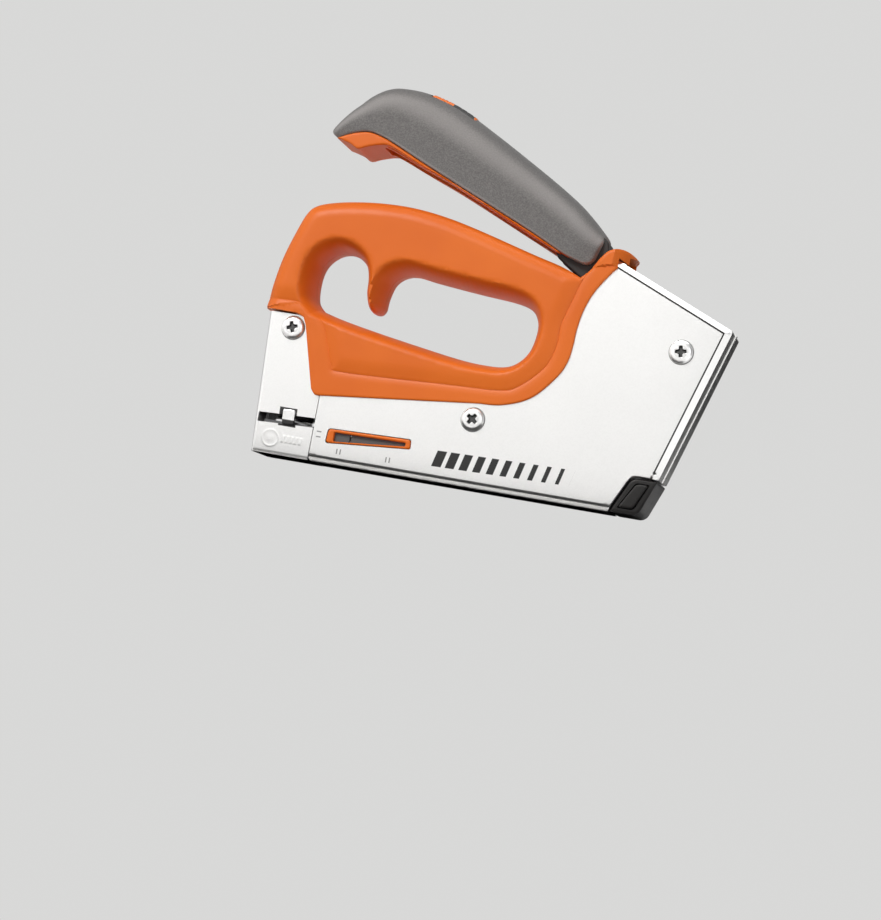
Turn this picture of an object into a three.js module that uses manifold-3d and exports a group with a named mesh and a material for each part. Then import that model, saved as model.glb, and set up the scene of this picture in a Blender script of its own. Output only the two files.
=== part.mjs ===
// Forward-action hand staple gun, in millimetres, +Z up.
// The nose points to -X, the tool's left side faces -Y, and the base rests on Z = 0.
// The two pressed-steel housing shells and the two moulded grip halves meet on the plane Y = 0.
import * as THREE from 'three';
import { mergeVertices } from 'three/addons/utils/BufferGeometryUtils.js';
import Module from 'manifold-3d';

const wasm = await Module();
wasm.setup();

// ---------------------------------------------------------------- driving dimensions
const BODY_HALF = 14;          // outer face of a housing shell
const NOSE_HALF = 13;          // outer face of the nose cover
const GRIP_HALF = 15.6;        // outermost face of the moulded grip
const FLANGE_HALF = 15.2;      // outer face of the grip's flange over the steel
const LEVER_HALF = 13.5;       // outermost face of the lever's soft cover
const LIP_HALF = 12.4;         // lower lip of the lever's core
const CORE_HALF = 10;          // the core inside the soft cover
const BOOT_HALF = 8;           // dark boot at the lever's root
const BOOT_SWING = 1.2;        // room each side of the boot inside the collar
const FORK_HALF = 5;           // steel fork inside the lever
const LINKAGE_HALF = 8;        // space for the fork and roller inside the grip
const CAP_HALF = 13.2;         // end cap of the magazine
const STEEL = 1.2;             // sheet thickness of housing and nose cover
const GAP = 0.3;               // assembly gap between neighbouring pieces
const EDGE_RADIUS = 2.2;       // rolled edges of the housing

const PIVOT = { x: 49.5, z: 90.2, r: 3 };        // lever pin
const FULCRUM = { x: -0.8, z: 27.8, r: 4 };      // bush that the cocking lever turns on
const ROLLER = { x: 26.6, z: 55.1, r: 4.5 };     // roller at the foot of the lever arm
const COLLAR_PLAN = { x: 32.6, r: 20.6 };        // arc in plan that ends the collar over the housing
const REAR_POST = { x: 79, z: 68.4, r: 4 };      // spacer at the rear screw
const NOSE_SCREW = { x: -84.3, z: 53.8 };
const SCREW_HEAD_R = 4.8;
const SCREW_HEAD_H = 2.2;
const SCREW_SHANK_R = 2;
const CLEARANCE_R = 2.5;

const SPRING_X = -88.6;        // axis of the power spring in the grip's front column
const SPRING_R = 4.6;          // outside radius of the power spring
const SPRING_LOW = 47.2;
const SPRING_TOP = 86;

const STAPLE = { half: 5.4, wire: 0.6, low: 1.5, top: 11.9, front: -89.8, back: -49 };
const ROD_Z = 6.4;             // axis of the magazine rod
const CHANNEL_BACK = 57;

// ---------------------------------------------------------------- materials
const metal = (color, roughness, metalness = 1) =>
  new THREE.MeshStandardMaterial({ color, roughness, metalness });
const plastic = (color, roughness) => metal(color, roughness, 0);
const CHROME = metal(0xdedcda, 0.22);
const ZINC = metal(0xb9bcc0, 0.35);
const DARK_STEEL = metal(0x55565a, 0.45);
const SPRING_STEEL = metal(0x77797d, 0.35);
const ORANGE = plastic(0xee7229, 0.4);
const GREY_SOFT = plastic(0x75706e, 0.75);
const BLACK = plastic(0x35322f, 0.5);
const RUBBER = plastic(0x22201f, 0.85);

// ---------------------------------------------------------------- solids and outlines
/** A closed geometry as a manifold solid. */
function solid(geometry) {
  const bare = geometry.clone();
  for (const name of Object.keys(bare.attributes)) {
    if (name !== 'position') bare.deleteAttribute(name);
  }
  const g = mergeVertices(bare, 1e-4);
  return new wasm.Manifold(new wasm.Mesh({
    numProp: 3,
    vertProperties: new Float32Array(g.attributes.position.array),
    triVerts: new Uint32Array(g.index.array),
  }));
}

/** A manifold solid as a named mesh. */
function part(name, shape, material) {
  const m = shape.getMesh();
  const g = new THREE.BufferGeometry();
  g.setAttribute('position', new THREE.BufferAttribute(new Float32Array(m.vertProperties), 3));
  g.setIndex(new THREE.BufferAttribute(new Uint32Array(m.triVerts), 1));
  g.computeVertexNormals();
  const mesh = new THREE.Mesh(g, material);
  mesh.name = name;
  return mesh;
}

const join = (first, ...rest) => rest.reduce((a, b) => a.add(b), first);
const cut = (first, ...rest) => rest.reduce((a, b) => a.subtract(b), first);

/** A shape from [x, z] corners; a third number rounds that corner by that much where its edges allow. */
function corners(points) {
  const shape = new THREE.Shape();
  const n = points.length;
  points.forEach(([x, z, wanted = 0], i) => {
    const here = new THREE.Vector2(x, z);
    const before = new THREE.Vector2(...points[(i + n - 1) % n]).sub(here);
    const after = new THREE.Vector2(...points[(i + 1) % n]).sub(here);
    const r = Math.min(wanted, 0.45 * before.length(), 0.45 * after.length());
    const a = here.clone().add(before.setLength(r));
    const b = here.clone().add(after.setLength(r));
    if (i === 0) shape.moveTo(a.x, a.y);
    else shape.lineTo(a.x, a.y);
    if (r > 0) shape.quadraticCurveTo(x, z, b.x, b.y);
  });
  shape.closePath();
  return shape;
}

/** A smooth curve through [x, z] points, added to a shape that already stands at its start. */
const through = (shape, points) => shape.splineThru(points.map(([x, z]) => new THREE.Vector2(x, z)));

/** The shape's points with curves divided, and points that fall together left out. */
function outlinePoints(shape, segments) {
  const points = shape.getPoints(segments);
  return points.filter((p, i) => p.distanceTo(points[(i + 1) % points.length]) > 1e-3);
}

/** A shape in the XZ plane made a plate from low to high in Y, with rounded edges of radius edge. */
function plate(shape, low, high, edge = 0, steps = 3, segments = 2) {
  const g = new THREE.ExtrudeGeometry(new THREE.Shape(outlinePoints(shape, segments)), {
    depth: high - low - 2 * edge,
    curveSegments: 1,
    bevelEnabled: edge > 0,
    bevelSize: edge,
    bevelThickness: edge,
    bevelOffset: -edge,
    bevelSegments: steps,
  });
  g.rotateX(Math.PI / 2);
  g.translate(0, high - edge, 0);
  return solid(g);
}

/** A box from its lowest and highest corners. */
function block([x0, y0, z0], [x1, y1, z1]) {
  const g = new THREE.BoxGeometry(x1 - x0, y1 - y0, z1 - z0);
  g.translate((x0 + x1) / 2, (y0 + y1) / 2, (z0 + z1) / 2);
  return solid(g);
}

/** A round bar along Y at [x, z]. */
function barY(x, z, r, low, high, sides = 20) {
  const g = new THREE.CylinderGeometry(r, r, high - low, sides);
  g.translate(x, (low + high) / 2, z);
  return solid(g);
}

/** A round bar along Z at [x, y = 0]. */
function barZ(x, r, low, high, sides = 20) {
  const g = new THREE.CylinderGeometry(r, r, high - low, sides);
  g.rotateX(Math.PI / 2);
  g.translate(x, 0, (low + high) / 2);
  return solid(g);
}

/** A round bar along X at [y = 0, z]. */
function barX(z, r, low, high, sides = 12) {
  const g = new THREE.CylinderGeometry(r, r, high - low, sides);
  g.rotateZ(Math.PI / 2);
  g.translate((low + high) / 2, 0, z);
  return solid(g);
}

const tubeY = (x, z, outer, inner, low, high) =>
  barY(x, z, outer, low, high).subtract(barY(x, z, inner, low - 1, high + 1));

/** Left and right copies of a piece that is drawn on the left, at negative Y. */
const mirrored = (shape) => shape.mirror([0, 1, 0]);

/** A coil spring: round wire swept along a helix about the line from start, along axis. */
function coil(start, axis, length, radius, wire, turns, stepsPerTurn, sides) {
  const along = axis.clone().normalize();
  const u = new THREE.Vector3(0, 1, 0);
  const v = along.clone().cross(u).normalize();
  class Helix extends THREE.Curve {
    getPoint(t, target = new THREE.Vector3()) {
      const a = 2 * Math.PI * turns * t;
      return target.copy(start)
        .addScaledVector(along, wire + (length - 2 * wire) * t)
        .addScaledVector(u, radius * Math.cos(a))
        .addScaledVector(v, radius * Math.sin(a));
    }
  }
  const section = new THREE.Shape();
  for (let i = 0; i < sides; i++) {
    const a = (2 * Math.PI * i) / sides;
    const p = [wire * Math.cos(a), wire * Math.sin(a)];
    if (i === 0) section.moveTo(...p);
    else section.lineTo(...p);
  }
  section.closePath();
  return solid(new THREE.ExtrudeGeometry(section, {
    steps: Math.round(turns * stepsPerTurn),
    curveSegments: 1,
    bevelEnabled: false,
    extrudePath: new Helix(),
  }));
}

// ---------------------------------------------------------------- outlines, as [x, z]
const REAR_CORNER = [98.4, 80.3];
const NOTCH = [[60.6, 0], [68, 15.6, 3], [79.2, 15.8]];

// edge of the steel that hides under the grip's flange, from the top to the front
const HIDDEN_EDGE = [[39.3, 92.8], [34.2, 81.7], [32.3, 71], [31.9, 64.6], [27.9, 51.7], [20, 42.8],
  [10, 38.6], [-9.6, 36.3]];

function housingOutline(grow = 0) {
  const shape = new THREE.Shape();
  shape.moveTo(-67 - grow, -grow);
  shape.lineTo(NOTCH[0][0] + grow, -grow);
  shape.lineTo(66.6 + grow, 12.8 - grow);
  shape.quadraticCurveTo(68 + grow, 15.6 - grow, 71 + grow, 15.7 - grow);
  shape.lineTo(79.2 + grow, 15.8 - grow);
  shape.lineTo(REAR_CORNER[0] + grow, REAR_CORNER[1] - grow);
  shape.lineTo(46 - grow, 102.7 + grow);
  through(shape, HIDDEN_EDGE.map(([x, z]) => [x - grow, z + grow]));
  shape.lineTo(-67 - grow, 30.5 + grow);
  shape.closePath();
  return shape;
}

/** Space inside the housing: open towards the nose and under the grip. */
const housingCavity = () => corners([
  [-90, STEEL], [60.6 - STEEL, STEEL], [67.2 - STEEL, 15.6 + STEEL], [79.2 - STEEL, 15.8 + STEEL],
  [REAR_CORNER[0] - 1.7, REAR_CORNER[1] - 0.6], [46, 101.2], [30, 112], [-90, 112],
]);

const NOSE_TOP = 59.5;
const noseOutline = (grow = 0) => corners([
  [-92.8 - grow, -grow], [-67.6 + grow, -grow], [-67.6 + grow, 27 + grow], [-78.4 + grow, NOSE_TOP + grow, 6],
  [-95.9 - grow, NOSE_TOP + grow],
]);

// the moulded grip: front column, bar above the hand, collar and hook, then the flange's lower edge
function gripOutline() {
  const shape = new THREE.Shape();
  shape.moveTo(-98.4, 60.4);
  through(shape, [[-97.9, 66], [-95.4, 82], [-90.9, 96.8], [-88.2, 103.2], [-85.2, 106.4], [-79.5, 108.6],
    [-70, 110.5], [-57.2, 111.8], [-43.6, 111.8], [-29.8, 110.1], [-14.6, 106.7], [10.9, 99.7],
    [23.9, 96.3], [32.6, 92.6]]);
  through(shape, [[35.9, 95.9], [38.8, 100.3], [41.8, 104.3], [44.8, 106], [48.7, 106.6], [52.4, 105.3],
    [55.7, 102]]);
  shape.lineTo(49.9, 101);
  through(shape, [[46.1, 97.1], [42.1, 91.5], [38.9, 85.9], [36.4, 78.6], [35.2, 71], [34.9, 64.3],
    [33.8, 57], [30.3, 50], [21.6, 40.3], [10.4, 35.6], [0, 34.6]]);
  shape.lineTo(-67.4, 27.2);
  shape.quadraticCurveTo(-70, 27, -71.2, 29.4);
  shape.lineTo(-78.8, 55.6);
  shape.lineTo(-80.4, 58.8);
  shape.lineTo(-84.4, 60.2);
  shape.closePath();
  return shape;
}

// the thick part of the grip, which ends in the crease above the flange
function gripCoreOutline() {
  const shape = new THREE.Shape();
  shape.moveTo(-98.4, 60.4);
  through(shape, [[-97.9, 66], [-95.4, 82], [-90.9, 96.8], [-88.2, 103.2], [-85.2, 106.4], [-79.5, 108.6],
    [-70, 110.5], [-57.2, 111.8], [-43.6, 111.8], [-29.8, 110.1], [-14.6, 106.7], [10.9, 99.7],
    [23.9, 96.3], [32.6, 92.6]]);
  through(shape, [[31.2, 82.8], [28.4, 72.2], [28, 63], [24.7, 53.3], [15.1, 43.8], [7.5, 41.3]]);
  shape.lineTo(-60.6, 38.3);
  through(shape, [[-67, 41.5], [-71.8, 51], [-77, 59.6]]);
  shape.closePath();
  return shape;
}

// the opening for the hand: a round finger hole, a hooked finger rest, and a long space behind it
const HAND_OPENING = [[-75.9, 63.9], [-80.2, 68.4], [-81.3, 75.5], [-80.2, 83], [-76, 88], [-70.5, 89.9],
  [-64.8, 88.8], [-60, 85], [-58.2, 79.5], [-57.6, 73], [-55.6, 67.6], [-52.9, 66.2], [-50.6, 69],
  [-50.1, 74.4], [-48.4, 80.4], [-44.6, 83.7], [-39, 84.8], [-29.2, 83.5], [-10.9, 81.6], [5, 80.2],
  [12.6, 77.9], [16.2, 73.6], [17.1, 68.2], [15.6, 60.4], [11.6, 55], [5.8, 52.4], [-4, 52],
  [-14.1, 52.8], [-29, 55], [-50, 58.4], [-66, 61.4]];

function handOpening() {
  const shape = new THREE.Shape();
  shape.moveTo(...HAND_OPENING[0]);
  through(shape, [...HAND_OPENING.slice(1), HAND_OPENING[0]]);
  return shape;
}

// lever at rest, open: the crown from the beak to the rear of the soft cover
const CROWN = [[-86, 139.6], [-81.8, 145.6], [-76.2, 152.4], [-70.4, 158], [-64, 161.6], [-57, 162.8],
  [-46, 161.8], [-32, 157.2], [-15, 148.4], [10.7, 133.6], [24.6, 124.8], [32.7, 118.3], [39.4, 111.8]];
const COVER_EDGE = [[-81.4, 136.7], [-74.7, 139.6], [-68, 141], [-61.7, 139.6], [-54.9, 136.8],
  [-37.2, 128.7], [5.4, 110.1], [22, 102.3], [29.3, 99.6], [33.3, 98.9]];
const CORE_EDGE = [[-80.4, 136.2], [-75.2, 134.5], [-71.6, 132.3], [-67.3, 133.8], [-61, 135.4],
  [-56.3, 134.9], [-44.2, 129.3], [-25.6, 122], [5.4, 108.1], [21.2, 101.1]];

// ---------------------------------------------------------------- housing and nose
const slots = [[FULCRUM.x, FULCRUM.z], [REAR_POST.x, REAR_POST.z]];

const windowOpening = (inset) => corners([
  [-61.2 + inset, 8.1 + inset, 1.5], [-24.4 - inset, 11.3 + inset * 0.6, 1], [-24.8 - inset, 15.6 - inset, 1],
  [-60.8 + inset, 14.6 - inset * 0.8, 1.5],
]);

/** The left housing shell: a face with rolled rims, a window and screw holes. */
function housingShell() {
  const full = plate(housingOutline(), -BODY_HALF, BODY_HALF, EDGE_RADIUS);
  const half = full.intersect(block([-120, -20, -1], [120, -GAP / 2, 130]));
  const inside = plate(housingCavity(), STEEL - BODY_HALF, 1);
  const magazinePath = block([-80, -7.2, -1], [84, 1, 14.8]);
  const bootPath = block([20, -BOOT_HALF - 1.4, 80], [54.3, 1, 120]);
  const boss = tubeY(PIVOT.x, PIVOT.z, 5.6, PIVOT.r + GAP, STEEL - BODY_HALF - 0.4, -8.8);
  const holes = slots.map(([x, z]) => barY(x, z, CLEARANCE_R, -20, 0, 14));
  const opening = plate(windowOpening(0), -20, -10, 0, 0, 3);
  return cut(join(cut(half, inside, magazinePath, bootPath), boss), ...holes, opening);
}

/** Moulded bezel that lines the staple window and leaves a narrow slot to look through. */
function windowBezel() {
  const rim = plate(windowOpening(0.3), -BODY_HALF - 0.3, -BODY_HALF + 2.4, 0, 0, 3);
  const slot = plate(corners([[-57.8, 9.2, 0.6], [-27, 12.1, 0.5], [-27, 13.9, 0.5], [-57.8, 13.3, 0.6]]),
    -20, -10, 0, 0, 2);
  return rim.subtract(slot);
}

/** The nose cover: one pressed U of steel round the front, slotted across near its foot. */
function noseCover() {
  const outer = plate(noseOutline(), -NOSE_HALF, NOSE_HALF, 1.6, 2);
  const inside = plate(corners([
    [-92.8 + STEEL, -2], [-60, -2], [-60, 70], [-96.4 + STEEL, 70],
  ]), STEEL - NOSE_HALF, NOSE_HALF - STEEL);
  const slot = block([-90.8, -20, 12.9], [-60, 20, 17.3]);
  const screws = barY(NOSE_SCREW.x, NOSE_SCREW.z, CLEARANCE_R, -20, 20, 14);
  return cut(outer, inside, slot, screws);
}

/** Guide block behind the blade: two cheeks on a foot, with the staples running between them. */
const noseGuide = () => cut(
  block([-89.6, -11.4, 0], [-68, 11.4, 14.2]),
  block([-95, -5.8, 1.3], [-60, 5.8, 20]),
);

/** Cross bar that locks the guide block into the slots of the nose cover. */
const noseLug = () => join(
  block([-82.2, -NOSE_HALF + 1, 14.6], [-76.6, NOSE_HALF - 1, 17]),
  block([-82.2, -NOSE_HALF - 0.9, 13.3], [-76.6, -NOSE_HALF + 1.3, 17]),
  block([-82.2, NOSE_HALF - 1.3, 13.3], [-76.6, NOSE_HALF + 0.9, 17]),
);

// ---------------------------------------------------------------- grip
/** Everything the collar keeps, seen from above: its rear end is an arc that is longest at the middle. */
function collarPlan() {
  const arc = barZ(COLLAR_PLAN.x, COLLAR_PLAN.r, 98, 120, 64);
  return join(arc, block([-120, -20, 0], [COLLAR_PLAN.x + 8, 20, 130]), block([-120, -20, 0], [120, 20, 98]));
}

/** The left grip half, with room for the power spring, the linkage and the lever's boot. */
function gripHalf() {
  const core = plate(gripCoreOutline(), -GRIP_HALF, GRIP_HALF, 2, 2, 1);
  const flange = plate(gripOutline(), -FLANGE_HALF, FLANGE_HALF, 0.4, 1, 1);
  const hand = plate(handOpening(), -20, 20, 0, 0, 1);
  const steel = plate(housingOutline(GAP), -BODY_HALF - GAP, BODY_HALF + GAP);
  const nose = plate(noseOutline(GAP), -NOSE_HALF - GAP, NOSE_HALF + GAP);
  const tongue = block([-92.6, -NOSE_HALF + STEEL + GAP, 46], [-79.6, -6.4, 61]);
  const screwHole = barY(NOSE_SCREW.x, NOSE_SCREW.z, SCREW_SHANK_R + GAP, -20, 0, 12);
  const bore = barZ(SPRING_X, SPRING_R + 1, 30, 88.4);
  const linkage = plate(corners([
    [-12, 30], [8, 46.5], [15.5, 53.5], [20.5, 61], [21.2, 76], [26, 84], [60, 84], [60, 30],
  ]), -LINKAGE_HALF, LINKAGE_HALF);
  const cocking = plate(corners([[-96, 20], [-96, 44], [-66, 44], [-10, 38.5], [0, 20]]), -3.4, 3.4);
  const boot = plate(corners([
    [8, 120], [8, 102.6], [13.5, 96.2], [27, 89], [34, 85.4], [38, 78], [60, 78], [60, 107.2],
    [46, 102.3], [42.8, 103.4], [41.8, 120],
  ]), -BOOT_HALF - BOOT_SWING, BOOT_HALF + BOOT_SWING);
  const left = block([-120, -20, 0], [120, -GAP / 2, 130]);
  const moulding = join(core, flange).subtract(hand);
  const hollowed = cut(join(cut(moulding, steel, nose), tongue), bore, linkage, cocking, boot, screwHole);
  return hollowed.intersect(left).intersect(collarPlan());
}

// ---------------------------------------------------------------- fasteners
/** A pan-head screw whose head stands on the face at the given Y, pointing inwards. */
function panScrew({ x, z }, face, length) {
  const under = -face - 0.1;
  const profile = [[0, 0], [SCREW_HEAD_R, 0], [SCREW_HEAD_R, 0.8], [3.6, SCREW_HEAD_H - 0.2],
    [2, SCREW_HEAD_H], [0, SCREW_HEAD_H]].map(([r, h]) => new THREE.Vector2(r, h));
  const g = new THREE.LatheGeometry(profile, 24);
  g.rotateX(Math.PI);
  const head = solid(g.translate(x, under, z));
  const shank = barY(x, z, SCREW_SHANK_R, under - 0.3, under + length, 14);
  const recess = join(
    block([x - 0.5, under - 5, z - 2.1], [x + 0.5, under - 1, z + 2.1]),
    block([x - 2.1, under - 5, z - 0.5], [x + 2.1, under - 1, z + 0.5]),
  );
  return cut(join(head, shank), recess);
}

/** Round flanged nut on the right housing face, open for the end of the screw. */
function flangedNut({ x, z }) {
  const low = BODY_HALF + 0.1;
  return join(
    tubeY(x, z, SCREW_HEAD_R, SCREW_SHANK_R + GAP, low, low + 1.2),
    tubeY(x, z, 3.6, SCREW_SHANK_R + GAP, low + 1, low + SCREW_HEAD_H),
  );
}

// ---------------------------------------------------------------- lever
/** Between two curves: the upper one left to right, then back along the lower one. */
function band(upper, lower, last = []) {
  const shape = new THREE.Shape();
  shape.moveTo(...upper[0]);
  through(shape, upper.slice(1));
  last.forEach(([x, z]) => shape.lineTo(x, z));
  const back = [...lower].reverse();
  shape.lineTo(...back[0]);
  through(shape, back.slice(1));
  shape.closePath();
  return shape;
}

const lowered = (points, d) => points.map(([x, z]) => [x, z - d]);

const coreCrown = (inset) => [[-77 + inset, 142 - inset * 0.5], [-71, 153 - inset], [-64, 157.8 - inset],
  [-57, 159.2 - inset], [-46, 158.2 - inset], [-33, 153.8 - inset], [-16, 145 - inset], [9, 130.4 - inset],
  [24, 120 - inset], [30 - inset, 113 - inset]];
const coreInside = (inset) => band(coreCrown(inset), [[-75 + inset, 136.8], [-61, 136.2], [-44.2, 129.8],
  [-25.6, 122.6], [5.4, 108.6], [26 - inset, 100.6]]);

/** Stiff orange core: a trough upside down, with a lip that shows below the soft cover. */
function leverCore(rivets) {
  const lip = plate(band(lowered(COVER_EDGE.slice(0, 8), GAP), CORE_EDGE), -LIP_HALF, LIP_HALF, 0, 0, 1);
  const inner = plate(coreInside(GAP), -CORE_HALF, CORE_HALF, 2, 2, 1);
  const trough = plate(corners([
    [-64, 120], [-60, 146, 4], [-52, 151.5, 4], [-20, 141.5], [12, 123.5], [27, 112.5], [60, 90],
  ]), -6.6, 6.6);
  const bootRoom = plate(bootOutline(GAP), -BOOT_HALF - GAP, BOOT_HALF + GAP, 0, 0, 2);
  return cut(join(lip, inner), trough, bootRoom, ...rivets.map(([x, z]) => barY(x, z, 2.3, -20, 20, 12)));
}

/** Soft grey cover over the core, with a pocket for the badge. */
function leverCover() {
  const below = lowered(COVER_EDGE, 9);
  const outer = plate(band(CROWN, below, [[41, 106]]), -LEVER_HALF, LEVER_HALF, 3, 2, 1);
  const edge = new THREE.Shape();
  edge.moveTo(-100, 136);
  edge.lineTo(...COVER_EDGE[0]);
  through(edge, COVER_EDGE.slice(1));
  edge.quadraticCurveTo(35.6, 98.6, 36.6, 101.2);
  edge.lineTo(41.4, 112);
  edge.lineTo(60, 180);
  edge.lineTo(-100, 180);
  edge.closePath();
  const above = plate(edge, -20, 20, 0, 0, 1);
  const inner = plate(coreInside(0), -CORE_HALF - GAP, CORE_HALF + GAP, 0, 0, 1);
  const bootRoom = plate(bootOutline(GAP), -BOOT_HALF - GAP, BOOT_HALF + GAP, 0, 0, 2);
  return cut(outer.intersect(above), inner, bootRoom, badgeBody(GAP));
}

/** Badge let into the crown of the cover. */
function badgeBody(grow) {
  const shape = new THREE.Shape();
  shape.moveTo(-45 - grow, 162.4 + 0.3);
  through(shape, [[-38, 160.3], [-31, 157.7], [-24 + grow, 154.4]]);
  shape.lineTo(-25 + grow, 152.2 - grow);
  through(shape, [[-32, 155.4 - grow], [-39, 158 - grow], [-45.4 - grow, 159.8 - grow]]);
  shape.closePath();
  return plate(shape, -5.5 - grow, 5.5 + grow, 0, 0, 1);
}

const bootOutline = (grow = 0) => corners([
  [13 - grow, 116 + grow], [20.8 - grow, 100.6 - grow], [34, 91.8 - grow], [40.4, 84.2 - grow],
  [53 + grow, 82.6 - grow, 4], [57 + grow, 91], [54 + grow, 99, 2], [46 + grow, 100.8 + grow],
  [41.3 + grow, 102.6 + grow], [40.2 + grow, 110 + grow, 2], [30, 114.8 + grow],
]);

/** Dark boot that closes the lever's root and dips between the collar's two halves. */
function leverBoot() {
  const body = plate(bootOutline(), -BOOT_HALF, BOOT_HALF, 1, 1, 2);
  const arms = plate(corners([[-20, 96], [-20, 134], [26, 113.5], [36, 107.6, 2], [62, 96], [62, 60], [30, 60]]),
    -FORK_HALF - 0.4, FORK_HALF + 0.4);
  return cut(body, arms, barY(PIVOT.x, PIVOT.z, PIVOT.r + 3, -20, 20));
}

/** Steel fork: one bar inside the core, two cheeks past the pin, down to the roller. */
function leverFork(rivets) {
  const bar = corners([[-50, 143.4, 2], [-49, 134.6, 2], [-20, 123.4], [8, 110.8], [34, 94.5], [43.6, 85.6, 3],
    [20.8, 54.2, 4], [29, 48.6, 4], [57.6, 87, 4], [55.4, 95.6, 3], [26, 111], [10, 122], [-21, 139.4]]);
  const body = plate(bar, -FORK_HALF, FORK_HALF, 0, 0, 3);
  const between = plate(corners([[18, 70], [27, 99.4], [41, 96.6], [64, 100], [64, 40], [10, 40]]), -3, 3);
  const holes = [
    barY(PIVOT.x, PIVOT.z, PIVOT.r + GAP, -20, 20),
    barY(ROLLER.x, ROLLER.z, 1.8, -20, 20, 12),
    ...rivets.map(([x, z]) => barY(x, z, 2.3, -20, 20, 12)),
  ];
  return cut(body, between, ...holes);
}

// ---------------------------------------------------------------- cocking lever and striker
/** Cocking lever: turned by the roller at its back, it lifts the striker at its front. */
function cockingLever() {
  const shape = corners([
    [-87.2, 23.4, 1], [-76, 23.2], [-62, 19.8], [-8, 20.4, 4], [8, 21, 6], [24, 35, 8], [36.6, 45.4, 2],
    [36.6, 56.4, 2], [34.1, 56.6, 1], [27.3, 48.4], [16, 40.5], [4, 36, 5], [-8, 33.4, 4], [-60, 29.6],
    [-78, 28.2], [-87.2, 28.2, 1],
  ]);
  return plate(shape, -2, 2, 0, 0, 3).subtract(barY(FULCRUM.x, FULCRUM.z, FULCRUM.r + GAP, -5, 5));
}

/** Striker carrier: holds the blade, takes the cocking lever's toe, and carries the spring. */
function strikerCarrier() {
  const body = block([-89.9, -5.4, 19], [-83.6, 5.4, 42]);
  const head = barZ(SPRING_X, 4.8, 41, SPRING_LOW - 0.2);
  const stem = barZ(SPRING_X, 2.6, SPRING_LOW - 1, SPRING_LOW + 10, 14);
  const pocket = block([-88.7, -2.9, 21.8], [-80, 2.9, 30]);
  return cut(join(body, head, stem), pocket);
}

const strikerBlade = () => block([-91.2, -5.2, 0.6], [-90.1, 5.2, 40.6]);

// ---------------------------------------------------------------- magazine
/** Fixed outer channel of the magazine, notched on both sides behind the window. */
function magazineChannel() {
  const u = block([-67.4, -6.9, 0.1], [CHANNEL_BACK, 6.9, 13.8])
    .subtract(block([-70, -5.9, 1.1], [60, 5.9, 20]));
  return u.subtract(block([-62, -10, 7.6], [-24, 10, 20]));
}

/** Inner rail that the staples straddle: an inverted channel, open below for the pusher's web. */
const stapleRail = () => block([-89.4, -4.5, 2.8], [CHANNEL_BACK - 1, 4.5, 11])
  .subtract(block([-95, -3.7, 0], [60, 3.7, 10.2]));

/** The strip of staples, glued side by side. */
function stapleStrip() {
  const { half, wire, low, top, front, back } = STAPLE;
  return block([front, -half, low], [back, half, top])
    .subtract(block([front - 1, wire - half, low - 1], [back + 1, half - wire, top - wire]));
}

/** Pusher: a block inside the rail, a web under it, and two wings that bear on the staples. */
function pusher() {
  const x0 = STAPLE.back + GAP;
  const inner = block([x0, -3.3, 3.1], [x0 + 11, 3.3, 9.8]);
  const web = block([x0, -5.4, 1.6], [x0 + 11, 5.4, 2.5]);
  const root = block([x0, -3.3, 2.2], [x0 + 11, 3.3, 4]);
  const wing = (side) => block([x0, side * 5.1 - 0.3, 1.6], [x0 + 11, side * 5.1 + 0.3, 11.6]);
  return cut(join(inner, web, root, wing(-1), wing(1)), barX(ROD_Z, 1.8, x0 - 1, x0 + 12));
}

const capOutline = (inset) => corners([
  [61.2 + inset * 1.5, 0.2 + inset], [73 - inset, 0.2 + inset, 3], [78.7 - inset * 1.4, 15.2 - inset],
  [68.2 + inset, 15.2 - inset, 3],
]);

/** Moulded end cap of the pull-out magazine, with a pocket on each side for a catch. */
function magazineCap() {
  const body = plate(capOutline(0), -CAP_HALF, CAP_HALF, 1, 2);
  const tongue = block([58.2, -5.4, 1.6], [70, 5.4, 12.6]);
  const pocket = plate(capOutline(1.9), -20, -9.6);
  const rodHole = barX(ROD_Z, 1.8, 50, 64);
  return cut(join(body, tongue), pocket, mirrored(pocket), rodHole);
}

const catchPad = () => plate(capOutline(2.3), -CAP_HALF - 1, -CAP_HALF + 2, 0.5, 1);

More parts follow.
